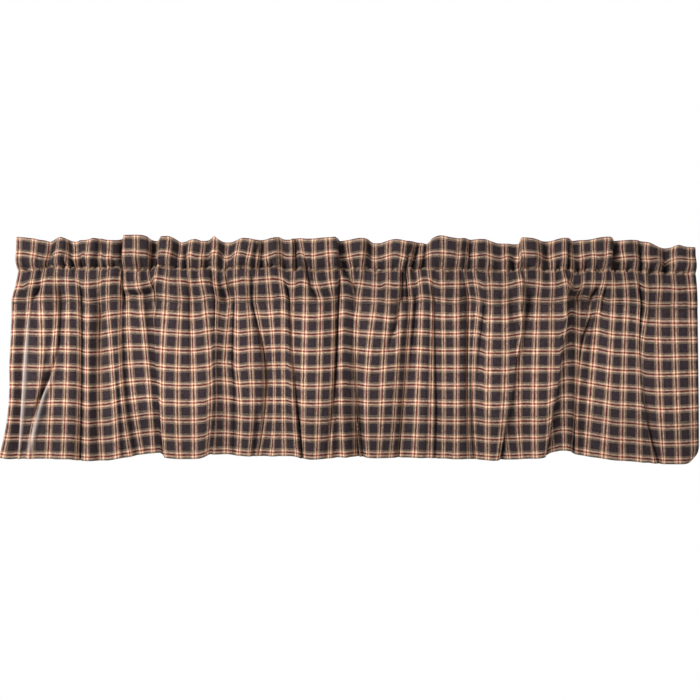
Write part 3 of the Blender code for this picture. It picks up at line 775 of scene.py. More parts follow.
# The creases pressed into the pocket and the drop. Each is a chain of places, top to bottom, and a
# place is (cloth, down, depth, width): where it is, in checks, how far it stands forward there, in mm,
# less than 0 for a furrow, and how wide it is, in checks.
CREASES = {
    "left ridge": (
        (2.25, 4.4, 0, 0.14), (2.02, 5.6, 3, 0.12), (2.03, 11.0, 4, 0.12), (2.05, 13.2, 2, 0.12),
    ),
    "left pinch": (
        (3.05, 3.0, 0, 0.14), (2.65, 3.4, -13, 0.14), (2.38, 3.9, -10, 0.14), (2.30, 4.8, -4, 0.12),
        (2.30, 5.6, 0, 0.12),
    ),
    "slanting furrow": (
        (4.30, 3.0, 0, 0.12), (4.28, 3.6, -11, 0.11), (4.38, 6.6, -11, 0.09), (4.20, 7.6, -9, 0.11),
        (3.68, 8.7, -17, 0.13), (3.38, 9.4, -16, 0.13), (3.12, 10.1, -8, 0.13), (2.90, 11.0, 0, 0.13),
    ),
    "slanting ridge": (
        (4.65, 6.6, 0, 0.14), (4.35, 7.9, 5, 0.16), (4.05, 8.6, 9, 0.17), (3.82, 9.0, 11, 0.16),
        (3.60, 9.5, 12, 0.14), (3.38, 10.4, 11, 0.13), (3.03, 12.2, 9, 0.12), (2.90, 13.2, 5, 0.12),
    ),
    "sixth stripe": (
        (6.25, 3.0, 0, 0.10), (6.32, 3.5, -15, 0.11), (6.33, 4.4, -9, 0.08), (6.35, 10.0, -8, 0.08),
        (6.38, 13.2, -8, 0.09),
    ),
    "eighth stripe": (
        (8.10, 4.2, 0, 0.16), (8.15, 4.9, -9, 0.16), (8.20, 6.4, -8, 0.16), (8.25, 8.5, -6, 0.16),
        (8.30, 11.0, 0, 0.16),
    ),
    "before the pleat": (
        (10.40, 5.0, 0, 0.12), (10.40, 7.0, -4, 0.12), (10.55, 13.2, -4, 0.12),
    ),
    "lower stripe": (
        (9.55, 8.0, 0, 0.12), (9.55, 9.6, -4, 0.12), (9.50, 13.2, -4, 0.12),
    ),
    "overhang": (
        (10.60, 3.45, -7, 0.13), (11.40, 3.62, -13, 0.13), (12.20, 3.58, -13, 0.13),
        (12.90, 3.5, -9, 0.13),
    ),
    "beside the overhang": (
        (10.25, 2.1, -13, 0.14), (10.35, 3.4, -18, 0.14), (10.60, 4.1, -8, 0.14), (10.60, 4.8, 0, 0.14),
    ),
    "under the pleat": (
        (13.15, 3.0, -6, 0.11), (13.20, 4.5, -10, 0.10), (13.10, 8.0, -9, 0.10),
        (13.00, 13.2, -9, 0.11),
    ),
    "seventeenth stripe": (
        (17.00, 2.9, -5, 0.10), (16.88, 3.6, -8, 0.09), (16.90, 8.5, -4, 0.09), (16.90, 9.5, 0, 0.09),
    ),
    "pleat's right side": (
        (18.80, 2.4, -9, 0.10), (18.75, 5.0, -7, 0.08), (18.65, 6.5, 0, 0.08),
    ),
    "pocket dimple": (
        (19.30, 2.5, 0, 0.15), (19.45, 3.0, -10, 0.15), (19.65, 3.6, -12, 0.16), (19.75, 4.2, -8, 0.14),
        (19.80, 4.8, 0, 0.14),
    ),
    "second dimple": (
        (20.10, 2.5, 0, 0.13), (20.18, 2.9, -8, 0.13), (20.22, 3.5, -7, 0.13), (20.20, 4.1, 0, 0.13),
    ),
    "twentieth stripe": (
        (20.65, 3.6, -5, 0.13), (20.65, 5.0, -9, 0.11), (20.70, 7.5, -11, 0.11),
        (20.70, 9.2, -10, 0.11), (20.60, 10.5, -8, 0.11), (20.60, 13.2, -7, 0.11),
    ),
    "bowed furrow": (
        (22.50, 2.9, -8, 0.12), (22.55, 4.5, -9, 0.09), (22.70, 5.8, -9, 0.09), (22.95, 6.8, -11, 0.10),
        (23.10, 7.7, -13, 0.11), (23.10, 8.6, -12, 0.11), (22.98, 10.0, -9, 0.11),
        (23.05, 13.2, -7, 0.11),
    ),
    "second furrow": (
        (22.55, 10.2, 0, 0.18), (22.50, 11.3, -10, 0.18), (22.55, 13.2, -9, 0.18),
    ),
    "twenty-fifth stripe": (
        (25.25, 2.9, 0, 0.11), (25.50, 3.3, -13, 0.12), (25.60, 3.8, -11, 0.11), (25.80, 4.6, -5, 0.09),
        (25.93, 7.0, -5, 0.09), (26.22, 9.5, -10, 0.10), (26.50, 11.0, -13, 0.10),
        (26.75, 13.2, -13, 0.10),
    ),
    "pleat's slant": (
        (27.05, 2.0, -12, 0.12), (27.20, 2.5, -16, 0.13), (27.45, 3.1, -13, 0.13),
        (27.80, 3.7, -12, 0.12), (27.90, 4.3, 0, 0.12),
    ),
    "middle furrow": (
        (29.85, 2.8, -5, 0.12), (29.75, 3.4, -16, 0.12), (29.72, 4.6, -13, 0.09),
        (29.50, 7.5, -13, 0.11), (29.12, 10.2, -11, 0.12), (28.88, 12.4, -6, 0.12),
        (28.82, 13.2, -5, 0.12),
    ),
    "middle ridge": (
        (30.15, 3.6, 0, 0.25), (30.10, 5.0, 5, 0.25), (30.05, 13.2, 7, 0.30),
    ),
    "middle pleat": (
        (31.15, 6.0, 0, 0.10), (31.25, 8.0, -6, 0.09), (31.35, 10.0, -8, 0.10), (31.40, 13.2, -9, 0.10),
    ),
    "curl": (
        (30.30, 2.2, -10, 0.13), (30.70, 2.7, -12, 0.13), (31.15, 3.2, -13, 0.13),
        (31.45, 3.6, -8, 0.13),
    ),
    "curved crease": (
        (35.00, 3.9, -3, 0.12), (34.95, 4.6, -8, 0.12), (34.80, 5.3, -9, 0.11), (34.50, 6.0, -8, 0.11),
        (34.28, 6.8, -4, 0.12), (34.15, 8.0, 0, 0.12),
    ),
    "curved rise": (
        (35.60, 4.3, 0, 0.20), (35.50, 5.4, 6, 0.18), (35.20, 6.4, 6, 0.18), (34.95, 7.6, 3, 0.20),
        (34.85, 8.6, 0, 0.20),
    ),
    "pocket tuck": (
        (35.25, 2.1, -16, 0.13), (35.22, 3.9, -13, 0.13), (35.25, 4.4, 0, 0.13),
    ),
    "second pocket tuck": (
        (35.80, 2.1, -12, 0.11), (35.75, 3.7, -10, 0.11),
    ),
    "between the stripes": (
        (36.50, 3.9, -7, 0.11), (36.48, 4.8, -10, 0.10), (36.45, 6.3, -8, 0.10), (36.40, 8.6, -3, 0.11),
    ),
    "lower furrow": (
        (36.05, 6.6, 0, 0.12), (36.05, 8.0, -6, 0.12), (36.00, 10.0, -7, 0.12), (35.90, 13.2, -9, 0.12),
    ),
    "long furrow": (
        (38.30, 3.0, -4, 0.11), (38.14, 3.5, -12, 0.11), (38.20, 4.6, -8, 0.09),
        (38.42, 10.5, -11, 0.08), (38.35, 13.2, -9, 0.09),
    ),
    "dark band": (
        (40.82, 3.0, -8, 0.12), (40.82, 4.6, -10, 0.11), (40.85, 8.0, -10, 0.11),
        (40.95, 11.0, -3, 0.11), (41.00, 13.2, 0, 0.11),
    ),
    "dark band's right": (
        (41.60, 7.6, 0, 0.14), (41.75, 9.5, -6, 0.14), (41.95, 13.2, -5, 0.15),
    ),
    "flap": (
        (42.60, 3.6, 0, 0.11), (42.62, 4.2, -6, 0.10), (42.60, 4.6, -8, 0.09), (42.52, 6.0, -7, 0.09),
        (42.42, 8.0, -4, 0.10), (42.35, 9.5, 0, 0.10),
    ),
    "lapped edge": (
        (44.45, 3.6, 0, 0.12), (44.55, 4.3, -6, 0.12), (44.80, 7.5, -6, 0.12), (44.75, 9.0, -11, 0.12),
        (44.55, 11.0, -16, 0.13), (44.35, 13.2, -16, 0.13),
    ),
    "notch": (
        (46.45, 3.4, 0, 0.11), (46.45, 3.9, -11, 0.11), (46.42, 4.5, -12, 0.09), (46.38, 5.1, -4, 0.08),
        (46.35, 6.0, 0, 0.08),
    ),
    "lit beside the notch": (
        (45.25, 2.3, 0, 0.28), (45.28, 2.9, 10, 0.28), (45.30, 4.3, 10, 0.26), (45.30, 5.2, 0, 0.24),
    ),
    "second lap": (
        (48.60, 3.2, 0, 0.12), (48.70, 4.0, -1, 0.12), (48.90, 7.0, -3, 0.12), (48.80, 8.7, -13, 0.12),
        (48.50, 11.0, -16, 0.13), (48.30, 13.2, -14, 0.13),
    ),
    "lit fold": (
        (49.10, 2.3, 0, 0.28), (49.12, 2.9, 11, 0.28), (49.15, 4.3, 11, 0.26), (49.20, 5.2, 7, 0.24),
        (49.25, 6.6, 0, 0.22),
    ),
    "shaded band": (
        (50.65, 3.3, -5, 0.15), (50.70, 4.6, -8, 0.16), (50.75, 7.5, -8, 0.18), (50.75, 9.5, -4, 0.18),
    ),
    "crossing furrow": (
        (52.60, 4.4, 0, 0.10), (52.45, 5.2, -7, 0.10), (52.20, 5.8, -16, 0.12), (51.85, 6.4, -18, 0.13),
        (51.65, 7.0, -9, 0.12), (51.60, 9.5, -6, 0.10), (51.45, 13.2, -6, 0.11),
    ),
    "crumple": (
        (50.70, 3.0, 0, 0.14), (50.80, 3.3, -12, 0.14), (50.90, 3.8, -14, 0.15), (50.90, 4.2, -8, 0.14),
    ),
    "curled crumple": (
        (52.95, 3.1, 0, 0.12), (52.60, 3.3, -14, 0.12), (52.20, 3.7, -16, 0.13), (52.00, 4.3, -9, 0.13),
        (51.95, 5.0, 0, 0.13),
    ),
    "beside it": (
        (53.40, 3.3, -12, 0.10), (53.35, 4.8, -11, 0.09), (53.30, 6.0, 0, 0.10),
    ),
    "right furrow": (
        (56.25, 2.9, -4, 0.11), (56.32, 3.4, -18, 0.11), (56.38, 4.2, -13, 0.09),
        (56.45, 7.0, -10, 0.08), (56.70, 8.8, -13, 0.09), (56.90, 10.2, -12, 0.10),
        (57.30, 13.2, -9, 0.11),
    ),
}

# The lines along which a pressed fold's ridge is painted pale, a painted highlight where the light catches
# it, as chains of places (cloth, down, highlight, width). highlight: how much, from 0 to 1.
PAINTED_HIGHLIGHT_LINES = {
    "left ridge": (
        (2.14, 4.9, 0.0, 0.07), (2.12, 5.7, 0.5, 0.07), (2.12, 7.0, 0.9, 0.07), (2.14, 9.0, 0.9, 0.07),
        (2.12, 11.0, 0.9, 0.07), (2.09, 12.6, 0.5, 0.07),
    ),
    "left ridge, broadly": (
        (2.32, 5.2, 0.0, 0.16), (2.32, 6.4, 0.03, 0.16), (2.32, 9.0, 0.03, 0.16),
        (2.28, 11.0, 0.0, 0.16),
    ),
    "slanting ridge": (
        (4.10, 8.0, 0.0, 0.07), (3.85, 8.8, 0.6, 0.07), (3.62, 9.4, 0.9, 0.07), (3.40, 10.3, 0.7, 0.07),
        (3.05, 12.1, 0.7, 0.08), (2.95, 12.9, 0.3, 0.07),
    ),
    "slanting ridge, broadly": (
        (4.40, 7.8, 0.0, 0.16), (4.15, 8.8, 0.05, 0.16), (3.90, 9.4, 0.05, 0.16),
        (3.65, 10.3, 0.04, 0.16), (3.30, 12.1, 0.02, 0.16),
    ),
    "right edge of the band": (
        (41.40, 7.0, 0.0, 0.08), (41.40, 9.0, 0.4, 0.08), (41.40, 13.0, 0.3, 0.08),
    ),
}

# How much deeper than their rows say the tucks are, what share of it they have at the top edge, if
# they start there, and at the seam, how fast they fade below it, in checks, and how far forward the
# cloth between them is pushed, just above the seam.
TUCK_DEPTH = 1.2
TUCK_AT_TOP = 0.4
TUCK_AT_SEAM = 0.4
TUCK_FADE = 0.25
TUCK_CRESTS = 9 * MM


def tucked(down):
    """How far the tucks above the upper seam press the cloth back, in metres."""
    back = np.zeros(len(CLOTH))
    for cloth, start, foot, depth, width in TUCKS:
        share = float(np.clip((down - start) / (SEAM_1 - start), 0, 1))
        middle = cloth + (foot - cloth) * share
        if down <= SEAM_1:
            strength = (TUCK_AT_TOP if start < 0.15 else 0.0) * (1 - share)
            strength += float(ease(share, 0.0, 0.5))
            strength -= (1 - TUCK_AT_SEAM) * float(ease(share, 0.88, 1.0))
        else:
            strength = TUCK_AT_SEAM * math.exp(-(down - SEAM_1) / TUCK_FADE)
        back += TUCK_DEPTH * depth * MM * strength * np.exp(-0.5 * ((CLOTH - middle) / width) ** 2)
    below_top = float(ease(down, 0.5, 1.4))
    above_seam = float(ease(-down, -SEAM_1 - 0.02, 0.5 - SEAM_1))
    return back - TUCK_CRESTS * below_top * above_seam


# More widths away than any line still shows.
FAR = 9.0


def drawn(chains, down):
    """Adds up lines drawn on the cloth, each a chain of places with a value and a width there."""
    total = np.zeros(len(CLOTH))
    for places in chains.values():
        cloth, level, value, width = zip(*places)
        nearest = np.full(len(CLOTH), FAR)
        here = np.zeros(len(CLOTH))
        for i in range(len(level) - 1):
            across, along = cloth[i + 1] - cloth[i], level[i + 1] - level[i]
            share = ((CLOTH - cloth[i]) * across + (down - level[i]) * along) / (across**2 + along**2)
            share = np.clip(share, 0, 1)
            apart = np.hypot(CLOTH - cloth[i] - across * share, down - level[i] - along * share)
            spread = apart / (width[i] + (width[i + 1] - width[i]) * share)
            here = np.where(spread < nearest, value[i] + (value[i + 1] - value[i]) * share, here)
            nearest = np.minimum(nearest, spread)
        total += here * np.exp(-0.5 * nearest**2)
    return total


def near_seam(down, reach):
    """1 at the upper seam, and less with the distance above or below it."""
    return math.exp(-(((down - SEAM_1) / reach) ** 2))


def sheet_row(down, stand_off):
    """One level row of points, with the layer standing forward of the folds by stand_off."""
    along, forward = fold_line(down)
    height = heights(down, along) + CRINKLE_HEIGHT * near_seam(down, 0.2) * CRINKLES[0]
    forward = forward + stand_off + pucker(down) - tucked(down) + drawn(CREASES, down) * MM
    crinkled = near_seam(down, 0.15) * (CRINKLE_DEPTH * CRINKLES[1])
    forward += crinkled - near_seam(down, GROOVE_REACH) * SEAM_GROOVE
    return np.stack([along, -forward, height], axis=1)


def side_ways(rows):
    """Unit vectors to the front of a sheet of rows of points."""
    across = np.gradient(rows, axis=1)
    down = np.gradient(rows, axis=0)
    normal = np.cross(down, across)
    return normal / np.linalg.norm(normal, axis=2, keepdims=True)


# How closely a sheet's columns lie where it is flat, and how much more so for each radian to a check.
FLAT_NEED = 5.0
TURN_NEED = 2.5


def chosen_columns(count, levels):
    """Places across the cloth for a sheet's columns, closer together where its rows turn most."""
    need = np.full(len(CLOTH), FLAT_NEED)
    for down in levels:
        row = sheet_row(float(down), 0.0)
        angle = np.unwrap(np.arctan2(np.gradient(row[:, 1]), np.gradient(row[:, 0])))
        need += TURN_NEED / len(levels) * soften(np.abs(np.gradient(angle)) / FINE_STEP, 0.08)
    run = np.concatenate([[0], np.cumsum((need[1:] + need[:-1]) / 2)])
    return np.interp(np.linspace(0, run[-1], count), run, CLOTH)


def with_side_hems(across):
    """The columns with the side hems' columns before and after them, which fold to the back."""
    beside_edge = 0.02
    hem = np.linspace(SIDE_HEM, beside_edge, 5)
    return np.concatenate([across[0] - hem, across, across[-1] + hem[::-1]])


def folded_back(place, low, high):
    """Where a place past an edge comes to lie once it is folded back, and how far past it was."""
    past = np.clip(low - place, 0, None) + np.clip(place - high, 0, None)
    within = np.where(place > high, 2 * high - place, place)
    return np.where(place < low, 2 * low - place, within), past


def at_columns(rows, across):
    """Reads rows of points, given at every fine step, at the chosen places across the cloth."""
    return np.array([[np.interp(across, CLOTH, axis) for axis in row.T] for row in rows]).transpose(0, 2, 1)


def deselect():
    """Leaves nothing selected, so that the next operator acts on its own new object alone."""
    bpy.ops.object.select_all(action="DESELECT")


def cloth_piece(name, points, across, down, painted_highlight):
    """A thin sheet of cloth through rows of points, with its flat place on it in repeats."""
    rows, columns = points.shape[:2]
    deselect()
    bpy.ops.mesh.primitive_grid_add(x_subdivisions=columns - 1, y_subdivisions=rows - 1, size=2)
    piece = bpy.context.object
    piece.name = name
    mesh = piece.data
    assert len(mesh.vertices) == rows * columns, (len(mesh.vertices), rows, columns)
    flat = np.empty(len(mesh.vertices) * 3)
    mesh.vertices.foreach_get("co", flat)
    flat = flat.reshape(-1, 3)
    column_of = np.round((flat[:, 0] + 1) / 2 * (columns - 1)).astype(int)
    row_of = np.round((1 - flat[:, 1]) / 2 * (rows - 1)).astype(int)
    mesh.vertices.foreach_set("co", points[row_of, column_of].ravel())
    for layer in list(mesh.uv_layers):
        mesh.uv_layers.remove(layer)
    layer = mesh.uv_layers.new(name="cloth")
    corner = np.empty(len(mesh.loops), int)
    mesh.loops.foreach_get("vertex_index", corner)
    places = np.stack([across[column_of[corner]], down[row_of[corner]]], axis=1)
    layer.data.foreach_set("uv", places.ravel())
    # Painted highlight: how much each point is paled where the light catches a pressed ridge, from 0 to 1.
    pale = mesh.attributes.new("painted_highlight", "FLOAT", "POINT")
    pale.data.foreach_set("value", painted_highlight[row_of, column_of])
    mesh.update()
    thickness = piece.modifiers.new("ply", "SOLIDIFY")
    thickness.thickness = PLY
    thickness.offset = 0.0
    bpy.ops.object.modifier_apply(modifier="ply")
    bpy.ops.object.shade_smooth()
    return piece


def stitch_line(points, across, down, place, faces):
    """A row of stitches over a sheet: its points at a place down it, and the way off the cloth there.

    faces is 1 or -1, and says on which side of the cloth the thread lies.
    """
    order = np.sign(down[-1] - down[0])
    row = float(np.interp(order * place, order * down, np.arange(len(down))))
    above = int(row)
    line = points[above] * (above + 1 - row) + points[above + 1] * (row - above)
    ways = side_ways(points[above : above + 2])[0]
    ways *= np.sign(ways[:, 1].mean()) * faces
    return line, ways, across


def make_stitches(lines):
    """The stitches of every row, each a short thread whose two ends are sunk in the cloth."""
    deselect()
    bpy.ops.curve.primitive_bezier_curve_add()
    thread = bpy.context.object
    thread.name = "stitching"
    thread.data.splines.clear()
    thread.data.bevel_depth = THREAD / 2
    thread.data.bevel_resolution = 0
    thread.data.use_fill_caps = True
    share = np.array([-0.5, -0.3, 0.3, 0.5])
    lift = PLY / 2 + THREAD * np.array([-0.6, 0.25, 0.25, -0.6])
    for line, ways, across in lines:
        for middle in np.arange(LEFT_EDGE + 0.1, RIGHT_EDGE - 0.1, 1 / STITCHES_A_CHECK):
            at = middle + share * STITCH_SHARE / STITCHES_A_CHECK
            centre = np.stack([np.interp(at, across, line[:, k]) for k in range(3)], axis=1)
            way = np.stack([np.interp(at, across, ways[:, k]) for k in range(3)], axis=1)
            spline = thread.data.splines.new("POLY")
            spline.points.add(len(share) - 1)
            for point, place in zip(spline.points, centre + way * lift[:, None]):
                point.co = (*place, 1.0)
    bpy.ops.object.convert(target="MESH")
    bpy.ops.object.shade_smooth()
    return thread


def make_drop():
    """The drop, with its lower hem and side hems turned to the back."""
    top = SEAM_2 + np.array([0.0, 0.08, 0.18, 0.3, 0.45, 0.62, 0.8, 1.0])
    body = np.linspace(SEAM_2 + 1.2, LOWER_EDGE - 0.2, 40)
    turn = LOWER_EDGE + np.array([-0.1, -0.04, 0.0, 0.04, 0.1])
    hem = np.linspace(LOWER_EDGE + 0.35, LOWER_EDGE + HEM, 5)
    down = np.concatenate([top, body, turn, hem])
    level, past = folded_back(down, -1.0, LOWER_EDGE)
    order = np.argsort(level)
    base = turned_corner(np.array([sheet_row(float(place), 0.0) for place in level[order]]))
    off = side_ways(base)
    restore = np.argsort(order)
    across = with_side_hems(chosen_columns(DROP_ACROSS, np.linspace(SEAM_2 + 0.3, LOWER_EDGE, 8)))
    column_place, side_past = folded_back(across, LEFT_EDGE, RIGHT_EDGE)
    points = at_columns(base[restore], column_place)
    away = at_columns(off[restore], column_place)
    away /= np.linalg.norm(away, axis=2, keepdims=True)
    behind = ease(past, 0.0, 0.05)[:, None] + ease(side_past, 0.0, 0.05)[None, :]
    points -= away * (behind * PLY_STEP)[..., None]
    # The painted highlights along the pressed ridges, at every row and column.
    painted_highlight_rows = [drawn(PAINTED_HIGHLIGHT_LINES, float(place)) for place in level]
    painted_highlight = np.stack([np.interp(column_place, CLOTH, row) for row in painted_highlight_rows])
    lines = [
        stitch_line(points, across, down, HEM_STITCHES, -1),
        stitch_line(points, across, down, STITCHES_ON_HEM, 1),
    ]
    return cloth_piece("drop_cloth", points, across, down, painted_highlight), lines


def parted(down):
    """How far the ruffle's two plies stand apart to each side, in steps of a ply: none at its top."""
    return 1.2 * ease(down, 0.0, 0.3) * (1 - ease(down, 0.6, SEAM_1))


def make_heading():
    """Ruffle and rod pocket: up the front, over the top fold and down the back."""
    pocket = np.linspace(SEAM_2, SEAM_1 + 0.3, 14)
    below_seam = SEAM_1 + np.array([0.2, 0.13, 0.08, 0.04, 0.0])
    above_seam = SEAM_1 - np.array([0.04, 0.08, 0.13, 0.2, 0.28, 0.42])
    ruffle = SEAM_1 - np.array([0.6, 0.8, 1.0, 1.2, 1.4, 1.6, 1.8])
    front = np.concatenate([pocket, below_seam, above_seam, ruffle, [0.1, 0.04]])
    back_ruffle = np.linspace(0.6, SEAM_1, 6)
    back_pocket = np.linspace(SEAM_1, SEAM_2, 10)[1:]
    turned_under = [SEAM_2 + 0.15, SEAM_2 + TURNED_UNDER]
    back = np.concatenate([[0.04, 0.1, 0.3], back_ruffle, back_pocket, turned_under])
    rows = []
    for place in front:
        rows.append(sheet_row(float(place), FRONT_BULGE * bulge(place)))
    rows.append(sheet_row(0.0, 0.0))
    for place in back:
        rows.append(sheet_row(float(place), -BACK_BULGE * bulge(place)))
    base = np.array(rows)
    front_ways = side_ways(base[: len(front)][::-1])[::-1]
    back_ways = side_ways(base[len(front) + 1 :])
    across = with_side_hems(chosen_columns(HEADING_ACROSS, np.linspace(0.2, SEAM_2 - 0.3, 8)))
    column_place, side_past = folded_back(across, LEFT_EDGE, RIGHT_EDGE)
    points = at_columns(base, column_place)
    front_away = at_columns(front_ways, column_place)
    back_away = at_columns(back_ways, column_place)
    side = ease(side_past, 0.0, 0.05)[None, :, None] * PLY_STEP
    front_steps = (0.5 * ease(-front, -SEAM_2, -SEAM_1) + parted(front))[:, None, None]
    points[: len(front)] += front_away * (front_steps * PLY_STEP - side)
    below = (back > SEAM_2).astype(float)[:, None, None]
    back_steps = (0.5 + parted(back))[:, None, None] + 1.2 * below
    points[len(front) + 1 :] -= back_away * (back_steps * PLY_STEP + side * (2 * below - 1))
    down = np.concatenate([front, [0.0], -back])
    lines = [stitch_line(points, across, down, place, -1) for place in (SEAM_1, LOWER_STITCHES)]
    lines += [stitch_line(points, across, down, -place, 1) for place in (SEAM_1, LOWER_STITCHES)]
    return cloth_piece("heading_cloth", points, across, down, np.zeros(points.shape[:2])), lines


class Yarn:
    """A value or colour in a material. An expression on it adds the nodes that work it out."""

    def __init__(self, recipe, socket):
        self.recipe = recipe
        self.socket = socket

    def maths(self, operation, *others, swapped=False):
        values = [self, *others]
        if swapped:
            values.reverse()
        return self.recipe.add("ShaderNodeMath", dict(enumerate(values)), operation=operation)

    def __add__(self, other):
        return self.maths("ADD", other)

    def __sub__(self, other):
        return self.maths("SUBTRACT", other)

    def __rsub__(self, other):
        return self.maths("SUBTRACT", other, swapped=True)

    def __mul__(self, other):
        return self.maths("MULTIPLY", other)

    __radd__ = __add__
    __rmul__ = __mul__


class Recipe:
    """One material: its nodes, added as they are called for, and its surface."""

    def __init__(self, name, **constants):
        self.material = bpy.data.materials.new(name)
        self.material.use_nodes = True
        self.tree = self.material.node_tree
        self.surface = self.tree.nodes["Principled BSDF"]
        for socket, value in constants.items():
            self.surface.inputs[socket.replace("_", " ")].default_value = value

    def connect(self, socket, value):
        if isinstance(value, Yarn):
            self.tree.links.new(value.socket, socket)
        else:
            socket.default_value = value

    def add(self, kind, sockets, output=0, stops=(), **settings):
        """Adds a node: its settings first, then the values or links of its sockets."""
        node = self.tree.nodes.new(kind)
        for name, value in settings.items():
            setattr(node, name, value)
        if stops:
            ramp = node.color_ramp
            while len(ramp.elements) < len(stops):
                ramp.elements.new(1.0)
            for element, (place, colour) in zip(ramp.elements, stops):
                element.position = place
                element.color = (*colour, 1.0)
        for name, value in sockets.items():
            self.connect(node.inputs[name], value)
        return Yarn(self, node.outputs[output])

    def mix(self, share, first, second):
        """A colour between two, by share."""
        return self.add(
            "ShaderNodeMix", {"Factor": share, 6: first, 7: second}, output=2, data_type="RGBA"
        )

    def tinted(self, share, colour, tint):
        """A colour, a share of whose light is also tinted by another."""
        return self.add(
            "ShaderNodeMix",
            {"Factor": share, 6: colour, 7: tint},
            output=2,
            data_type="RGBA",
            blend_type="MULTIPLY",
        )

    def between(self, value, low, high):
        """0 on low's side, 1 on high's side and an even rise from low to high."""
        return self.add("ShaderNodeMapRange", {"Value": value, "From Min": low, "From Max": high})

    def streaks(self, across, down):
        """Soft streaks about 0.5, one unit in size both ways."""
        place = self.add("ShaderNodeCombineXYZ", {"X": across, "Y": down})
        return self.add("ShaderNodeTexNoise", {"Vector": place, "Scale": 1.0, "Detail": 1.0})

    def scaled(self, colour, factor):
        """A colour times a number."""
        return self.add("ShaderNodeVectorMath", {0: colour, "Scale": factor}, operation="SCALE")

    def finish(self, **sockets):
        for name, value in sockets.items():
            self.connect(self.surface.inputs[name.replace("_", " ")], value)
        return self.material


def srgb(red, green, blue):
    """A colour as it looks on a screen, from 0 to 255, as the light it gives back."""
    shares = [channel / 255 for channel in (red, green, blue)]
    return tuple(share / 12.92 if share < 0.04 else ((share + 0.055) / 1.055) ** 2.4 for share in shares)


# The yarns, and the half widths of the check's stripes from the middle of the red one, in mm.
BLACK_YARN = srgb(57, 45, 49)
TAN_YARN = srgb(144, 121, 103)
CREAM_YARN = srgb(231, 200, 172)
RED_YARN = srgb(132, 38, 28)
# The pale colour painted along the pressed ridges as their highlight.
PAINTED_HIGHLIGHT_COLOUR = (*srgb(222, 212, 207), 1.0)
RED_TO = 1.55
CREAM_TO = 4.4
TAN_TO = 7.6
EDGE_BLUR = 0.15

# How many yarns make one repeat of the check, and how high they stand.
YARNS_A_CHECK = 62
YARN_HEIGHT = 0.15 * MM

# How much lighter the cloth is painted where it lies single, a painted light for what shines through one
# ply, and how strongly the pressed ridges are paled as a painted highlight.
SINGLE_PLY_PAINTED_LIGHT = 1.25
PAINTED_HIGHLIGHT_SHARE = 0.6

# How unevenly the yarns are spun and dyed.
SLUBS = 2.0

# How much of the light on a yarn has been through the yarn that it crosses.
SHOWS_THROUGH = 0.32


def woven_check():
    """Plain-woven cotton: dyed yarns crossing one over, one under, painted lighter for the light through a
    single ply, and with painted highlights along its pressed ridges.
    """
    recipe = Recipe(
        "woven_check", Metallic=0.0, Specular_IOR_Level=0.2, Sheen_Weight=0.04, Sheen_Roughness=0.5
    )
    places = recipe.add("ShaderNodeUVMap", {}, uv_map="cloth")
    parts = recipe.add("ShaderNodeSeparateXYZ", {"Vector": places})
    across = parts
    down = Yarn(recipe, parts.socket.node.outputs["Y"])
    half = CHECK / MM / 2

    def stripes(place):
        """The colour of the yarns that lie side by side at a place, from the red stripe out."""
        share = place.maths("PINGPONG", 0.5) * 2
        blur = EDGE_BLUR / half
        edges = [RED_TO / half, CREAM_TO / half, TAN_TO / half]
        dyes = [RED_YARN, CREAM_YARN, TAN_YARN, BLACK_YARN]
        stops = [(0.0, dyes[0])]
        for edge, inner, outer in zip(edges, dyes, dyes[1:]):
            stops += [(edge - blur / 2, inner), (edge + blur / 2, outer)]
        return recipe.add("ShaderNodeValToRGB", {"Fac": share}, stops=stops)

    warp_wave = (across * (YARNS_A_CHECK * math.pi)).maths("SINE")
    weft_wave = (down * (YARNS_A_CHECK * math.pi)).maths("SINE")
    crossing = warp_wave * weft_wave
    over = (crossing * 4 + 0.5).maths("MINIMUM", 1.0).maths("MAXIMUM", 0.0)
    # Painted light: between the lower seam and the hem stitches, the single ply is painted lighter to stand
    # in for the light that shines through it. Where the cloth lies double, it is not.
    below_seam = recipe.between(down, SEAM_2 - 0.05, SEAM_2 + 0.2)
    above_hem = recipe.between(down, HEM_STITCHES + 0.2, HEM_STITCHES - 0.5)
    single_ply_painted_light = below_seam * above_hem
    weft, warp = stripes(down), stripes(across)
    seen = recipe.mix(over, weft, warp)
    under = recipe.mix(over, warp, weft)
    woven = recipe.tinted(SHOWS_THROUGH, seen, under)
    weft_slubs = recipe.streaks(across * 4, down * 14)
    warp_slubs = recipe.streaks(across * 14, down * 4)
    slubs = weft_slubs * (1 - over) + warp_slubs * over
    colour = recipe.scaled(woven, (single_ply_painted_light * (SINGLE_PLY_PAINTED_LIGHT - 1) + 1) * ((slubs - 0.5) * SLUBS + 1))
    # Painted highlight: the colour is paled along the pressed ridges, where the light catches them.
    painted_highlight = recipe.add("ShaderNodeAttribute", {}, output=2, attribute_name="painted_highlight")
    colour = recipe.mix(painted_highlight * PAINTED_HIGHLIGHT_SHARE, colour, PAINTED_HIGHLIGHT_COLOUR)
    relief = warp_wave.maths("ABSOLUTE") * over + weft_wave.maths("ABSOLUTE") * (1 - over)
    bump = recipe.add("ShaderNodeBump", {"Height": relief, "Strength": 0.35, "Distance": YARN_HEIGHT})
    return recipe.finish(Base_Color=colour, Roughness=0.88, Normal=bump)


